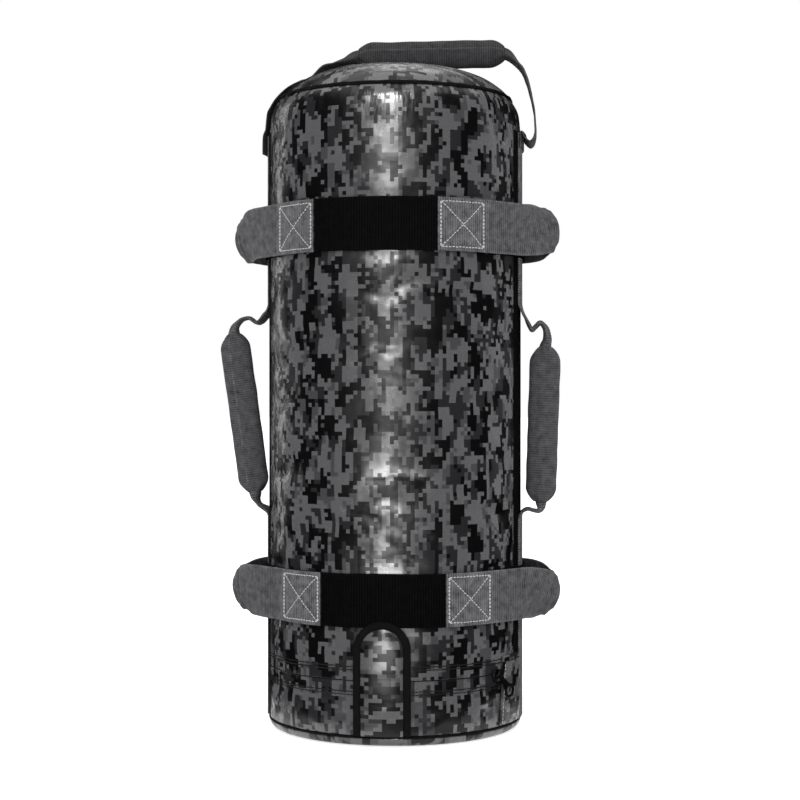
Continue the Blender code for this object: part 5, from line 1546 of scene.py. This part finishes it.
# %% Flap panel
heights = even_steps(FLAP_BOTTOM, FLAP_ARC_MIDDLE, 0.0028)
heights += [FLAP_ARC_MIDDLE + PANEL_REACH * sin(pi / 2.0 * step / 9.0) for step in range(1, 9)]
heights.append(FLAP_ARC_MIDDLE + PANEL_REACH - 0.00012)
grid = []
for height in heights:
    above = max(0.0, height - FLAP_ARC_MIDDLE)
    half = max(0.0009, sqrt(max(0.0, PANEL_REACH ** 2 - above ** 2)) if above else PANEL_REACH)
    row = []
    for step in range(-FLAP_SIDE_STEPS, FLAP_SIDE_STEPS + 1):
        even = step / FLAP_SIDE_STEPS
        across = half * (sin(pi / 2.0 * step / FLAP_SIDE_STEPS) * 0.35 + even * 0.65)
        radius = flap_radius(height) + FLAP_CLOTH / 2.0
        inset = max(0.0, min(PANEL_REACH - hypot(across, above), height - FLAP_BOTTOM + 0.004))
        crown = FLAP_CROWN * (1.0 - exp(-inset / 0.0055))
        wave = 0.0011 * noise.noise(Vector((across * 40.0, height * 55.0, 3.0))) * min(1.0, inset / 0.004)
        row.append(on_bag(across / radius, radius + crown + wave, height))
    grid.append(row)
flap_panel = webbing_sheet("camo_flap", grid, camo_cloth, "camo_cloth", thickness=FLAP_CLOTH,
                           cloth_at=(1.37, 0.52))
point_values(flap_panel, "pucker", [0.25] * len(flap_panel.data.vertices))
dress(refine(flap_panel), "flap", "flap_panel")

# %% Flap binding
BINDING_SECTION = ((-0.5, 0.0), (-0.5, 0.55), (-0.42, 0.85), (-0.25, 0.97), (0.0, 0.93), (0.25, 0.97),
                   (0.42, 0.85), (0.5, 0.55), (0.5, 0.0))
ARC_STEPS = 26
outline = [(-BINDING_LINE, height) for height in even_steps(FLAP_BOTTOM, FLAP_ARC_MIDDLE, 0.0035)]
outline += [(-BINDING_LINE * cos(angle), FLAP_ARC_MIDDLE + BINDING_LINE * sin(angle))
            for angle in (pi * step / ARC_STEPS for step in range(1, ARC_STEPS))]
outline += [(-across, height) for across, height in outline[len(outline) - ARC_STEPS::-1]]
points = []
run = []
for place, (across, height) in enumerate(outline):
    here, before = Vector(outline[place]), Vector(outline[max(0, place - 1)])
    along = (Vector(outline[min(len(outline) - 1, place + 1)]) - before).normalized()
    run.append((run[-1] if run else 0.0) + (here - before).length)
    wobble = 0.00035 * noise.noise(Vector((across, height, 0.0)) * 90.0)
    for reach, lift in BINDING_SECTION:
        off = reach * BINDING_WIDE + wobble
        x, z = across - along.y * off, height + along.x * off
        radius = flap_radius(z)
        points.append(on_bag(x / radius, radius + lift * BINDING_THICK, z))
count = len(BINDING_SECTION)
faces, corners = quads(len(outline), count, lambda row, column: (run[row], column * 0.0015))
close_ends(faces, corners, 0, len(outline), count)
flap_binding = make_piece("flap_edge_tape", points, faces, corners, seam_binding, "seam_binding")
dress(flap_binding, "flap", "flap_binding")
print("flap panel", len(flap_panel.data.polygons), "faces, binding", len(faces))

# %% [markdown]
# The end patch hides the right end of the zip. It is a folded piece of the same cloth, so its visible
# edges are thick and soft, and it waves between its stitches.

# %% End patch
PATCH_CLOTH = 0.0011
PATCH_TOP = 0.077
PATCH_RIGHT = radians(90.0) - (WEBBING_WIDTH / 2.0 + 0.0003) / BAG_RADIUS
rows = []
heights = even_steps(wall_low, PATCH_TOP - 0.0025, 0.0026)
heights += [PATCH_TOP - fold for fold in (0.0012, 0.0004, 0.0)]
for height in heights:
    share = (height - wall_low) / (PATCH_TOP - wall_low)
    bulge = 0.0006 * sin(pi * min(1.0, share)) + 0.0004 * smooth_step(0.9, 1.0, share)
    rows.append((height, radians(57.5 + 3.0 * share), PATCH_RIGHT, BAG_RADIUS + WRAP_GAP + bulge))
end_patch = wrapped_sheet("camo_end_patch", rows, camo_cloth, "camo_cloth", PATCH_CLOTH, wander=0.0009,
                          seed=1.9)
point_values(end_patch, "pucker", [0.35] * len(end_patch.data.vertices))
dress(refine(end_patch), "root", "zip_end_patch")

# %% Hook strip and loop patch
for node, name, fuzz, bevel in (("flap_hook_strip", "hook_strip", hook_fuzz, 0.0002),
                                ("flap_loop_patch", "loop_patch", loop_fuzz, 0.0001)):
    solid_copy(node, name, fuzz, "hook_and_loop", bevel, uneven=0.0001)
print("end patch", len(end_patch.data.polygons), "faces")

# %% [markdown]
# ## Stitches
# Thread could be drawn in a bump map, but the white boxed crosses are the most visible detail of the
# webbing, and a bump has no outline. So each stitch is a short bead of thread that dips into the
# cloth at both ends. A stitch line is a list of points with the surface's normal at each. All lines
# of one strap are one mesh.

# %% Stitch helper
BEAD_SIDES = 6
BEAD_STATIONS = (  # reach along the bead, rise, size
    (-0.5, -0.9, 0.45), (-0.36, 0.35, 0.95), (0.0, 0.8, 1.0), (0.36, 0.35, 0.95), (0.5, -0.9, 0.45))


def sew(name, lines, material, slot, pitch=0.0036, length=0.0028, radius=0.00046, lift=0.00024):
    """One piece of thread beads along lines of (point, normal)."""
    points, faces, corners = [], [], []
    for line in lines:
        places, normals = [[Vector(item[part]) for item in line] for part in (0, 1)]
        run = [0.0]
        for first, second in zip(places, places[1:]):
            run.append(run[-1] + (second - first).length)
        count = max(1, round(run[-1] / pitch))
        for number in range(count):
            base = len(points)
            for reach, rise, size in BEAD_STATIONS:
                at = min(run[-1], max(0.0, run[-1] * (number + 0.5) / count + reach * length))
                leg = next((place for place in range(len(run) - 1) if run[place + 1] >= at), len(run) - 2)
                share = (at - run[leg]) / max(1e-9, run[leg + 1] - run[leg])
                normal = normals[leg].lerp(normals[leg + 1], share).normalized()
                aside = (places[leg + 1] - places[leg]).normalized().cross(normal).normalized()
                sway = noise.noise(Vector((number * 0.73, places[0].x * 90.0, places[0].z * 90.0)))
                point = places[leg].lerp(places[leg + 1], share) + normal * (rise * lift)
                point += aside * (radius * 0.8 * sway) * (1.0 - reach * 1.6)
                for corner in range(BEAD_SIDES):
                    angle = tau * corner / BEAD_SIDES
                    points.append(point + (aside * cos(angle) + normal * sin(angle)) * radius * size)
            bead = quads(len(BEAD_STATIONS), BEAD_SIDES, lambda row, corner: (row * length / 4.0, corner),
                         first=base)
            faces += bead[0]
            corners += bead[1]
            close_ends(faces, corners, base, len(BEAD_STATIONS), BEAD_SIDES)
    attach(make_piece(name, points, faces, corners, material, slot), "root")
    print(name, len(points) // (BEAD_SIDES * len(BEAD_STATIONS)), "stitches")


# %% Boxed crosses on the loops
PATCH_LENGTH = (LOOP_LEAVES - PATCH_START) * LOOP_MIDDLE_RADIUS
NEAR, FAR = 0.0032, PATCH_LENGTH - 0.0012
BOX_HALF = 0.0212
BOX = [(NEAR, -BOX_HALF), (NEAR, BOX_HALF), (FAR, BOX_HALF), (FAR, -BOX_HALF)]
PATCH_LINES = list(zip(BOX, BOX[1:] + BOX[:1])) + [(BOX[0], BOX[2]), (BOX[1], BOX[3])]
PATCH_LINES += [((run, -BOX_HALF), (run, BOX_HALF)) for run in (FAR + 0.0006, NEAR - 0.0005)]


def patch_line(first, second, level, side, depth):
    """A straight stitch line on a loop's sewn patch, from and to (along, across) in metres."""
    line = []
    for step in range(13):
        share = step / 12.0
        run, across = [low + (high - low) * share for low, high in zip(first, second)]
        angle = PATCH_START + run / LOOP_MIDDLE_RADIUS
        place = on_bag(angle, LOOP_MIDDLE_RADIUS + WEBBING / 2.0, BAND_HEIGHTS[level] + across)
        normal = on_bag(angle, 1.0, 0.0)
        line.append([turned_to(vector, side, depth, BAND_YAWS[level]) for vector in (place, normal)])
    return line


for level in BAND_HEIGHTS:
    for side_name, side in SIDES.items():
        lines = [patch_line(first, second, level, side, depth)
                 for depth in (1.0, -1.0) for first, second in PATCH_LINES]
        sew(f"loop_stitches_{level}_{side_name}", lines, white_thread, "grey_webbing")

# %% [markdown]
# Black double rows hold the zip's tapes, above and below its opening. Another double row holds the
# top of the end patch, and a pale one its left hem.

# %% Zip stitches
HEAVY = {"pitch": 0.0032, "length": 0.0032, "lift": 0.0003}
PATCH_RADIUS = BAG_RADIUS + WRAP_GAP + PATCH_CLOTH + 0.0006
FLAP_EDGE = radians(12.8)
ZIP_SPANS = ((radians(-84.0), -FLAP_EDGE), (FLAP_EDGE, radians(60.0)))


def wall_line(height, left, right, radius):
    line = []
    for angle in even_steps(left, right, 0.004 / BAG_RADIUS):
        wave = 0.0003 * noise.noise(Vector((angle * 9.0, height * 50.0, 0.0)))
        line.append((on_bag(angle, radius, height + wave), on_bag(angle, 1.0, 0.0)))
    return line


lines = [wall_line(height, left, right, BAG_RADIUS + 0.0001)
         for height in (0.0480, 0.0510, 0.0710, 0.0740) for left, right in ZIP_SPANS]
sew("zip_stitches", lines, black_thread, "seam_binding", radius=0.00056, **HEAVY)
lines = [wall_line(height, radians(61.5), radians(77.5), PATCH_RADIUS) for height in (0.0746, 0.0714)]
sew("end_patch_stitches", lines, black_thread, "seam_binding", radius=0.00050, **HEAVY)
hem = []
for height in even_steps(0.012, 0.069, 0.004):
    angle = radians(59.4 + 3.0 * (height - wall_low) / (PATCH_TOP - wall_low))
    hem.append((on_bag(angle, PATCH_RADIUS, height), on_bag(angle, 1.0, 0.0)))
sew("end_patch_hem_stitches", [hem], white_thread, "seam_binding", radius=0.00034)

# %% [markdown]
# ## Filling
# None of this shows while the bag is closed, but it fills the real one: a wadding liner, and three
# sand bags, each a cloth skin with its neck tied and the sand in it. The skins and the wadding are
# soft, so they get rounded, uneven copies of their solids.

# %% Liner
for part_name, pillow in (("base_pad", 0.8), ("sleeve", 0.7), ("top_pad", 0.8)):
    pad = solid_copy(f"liner_{part_name}", f"wadding_{part_name}", pale_wadding, "liner_foam", 0.0030,
                     uneven=0.0009, size=0.035)

# %% Sand bags
for number in (1, 2, 3):
    bag = f"sand_bag_{number}"
    skin = solid_copy(f"{bag}_skin", f"filler_skin_{number}", inner_cloth, "inner_cloth", 0.0003,
                      uneven=0.00025, size=0.020)
    solid_copy(f"{bag}_sand", f"loose_sand_{number}", dry_sand, "sand", 0.0015, uneven=0.0004)
    solid_copy(f"{bag}_tie", f"filler_tie_{number}", seam_binding, "seam_binding", 0.0006, uneven=0.0002,
               size=0.006)
print("filling pieces: 3 pads, 3 filler bags")
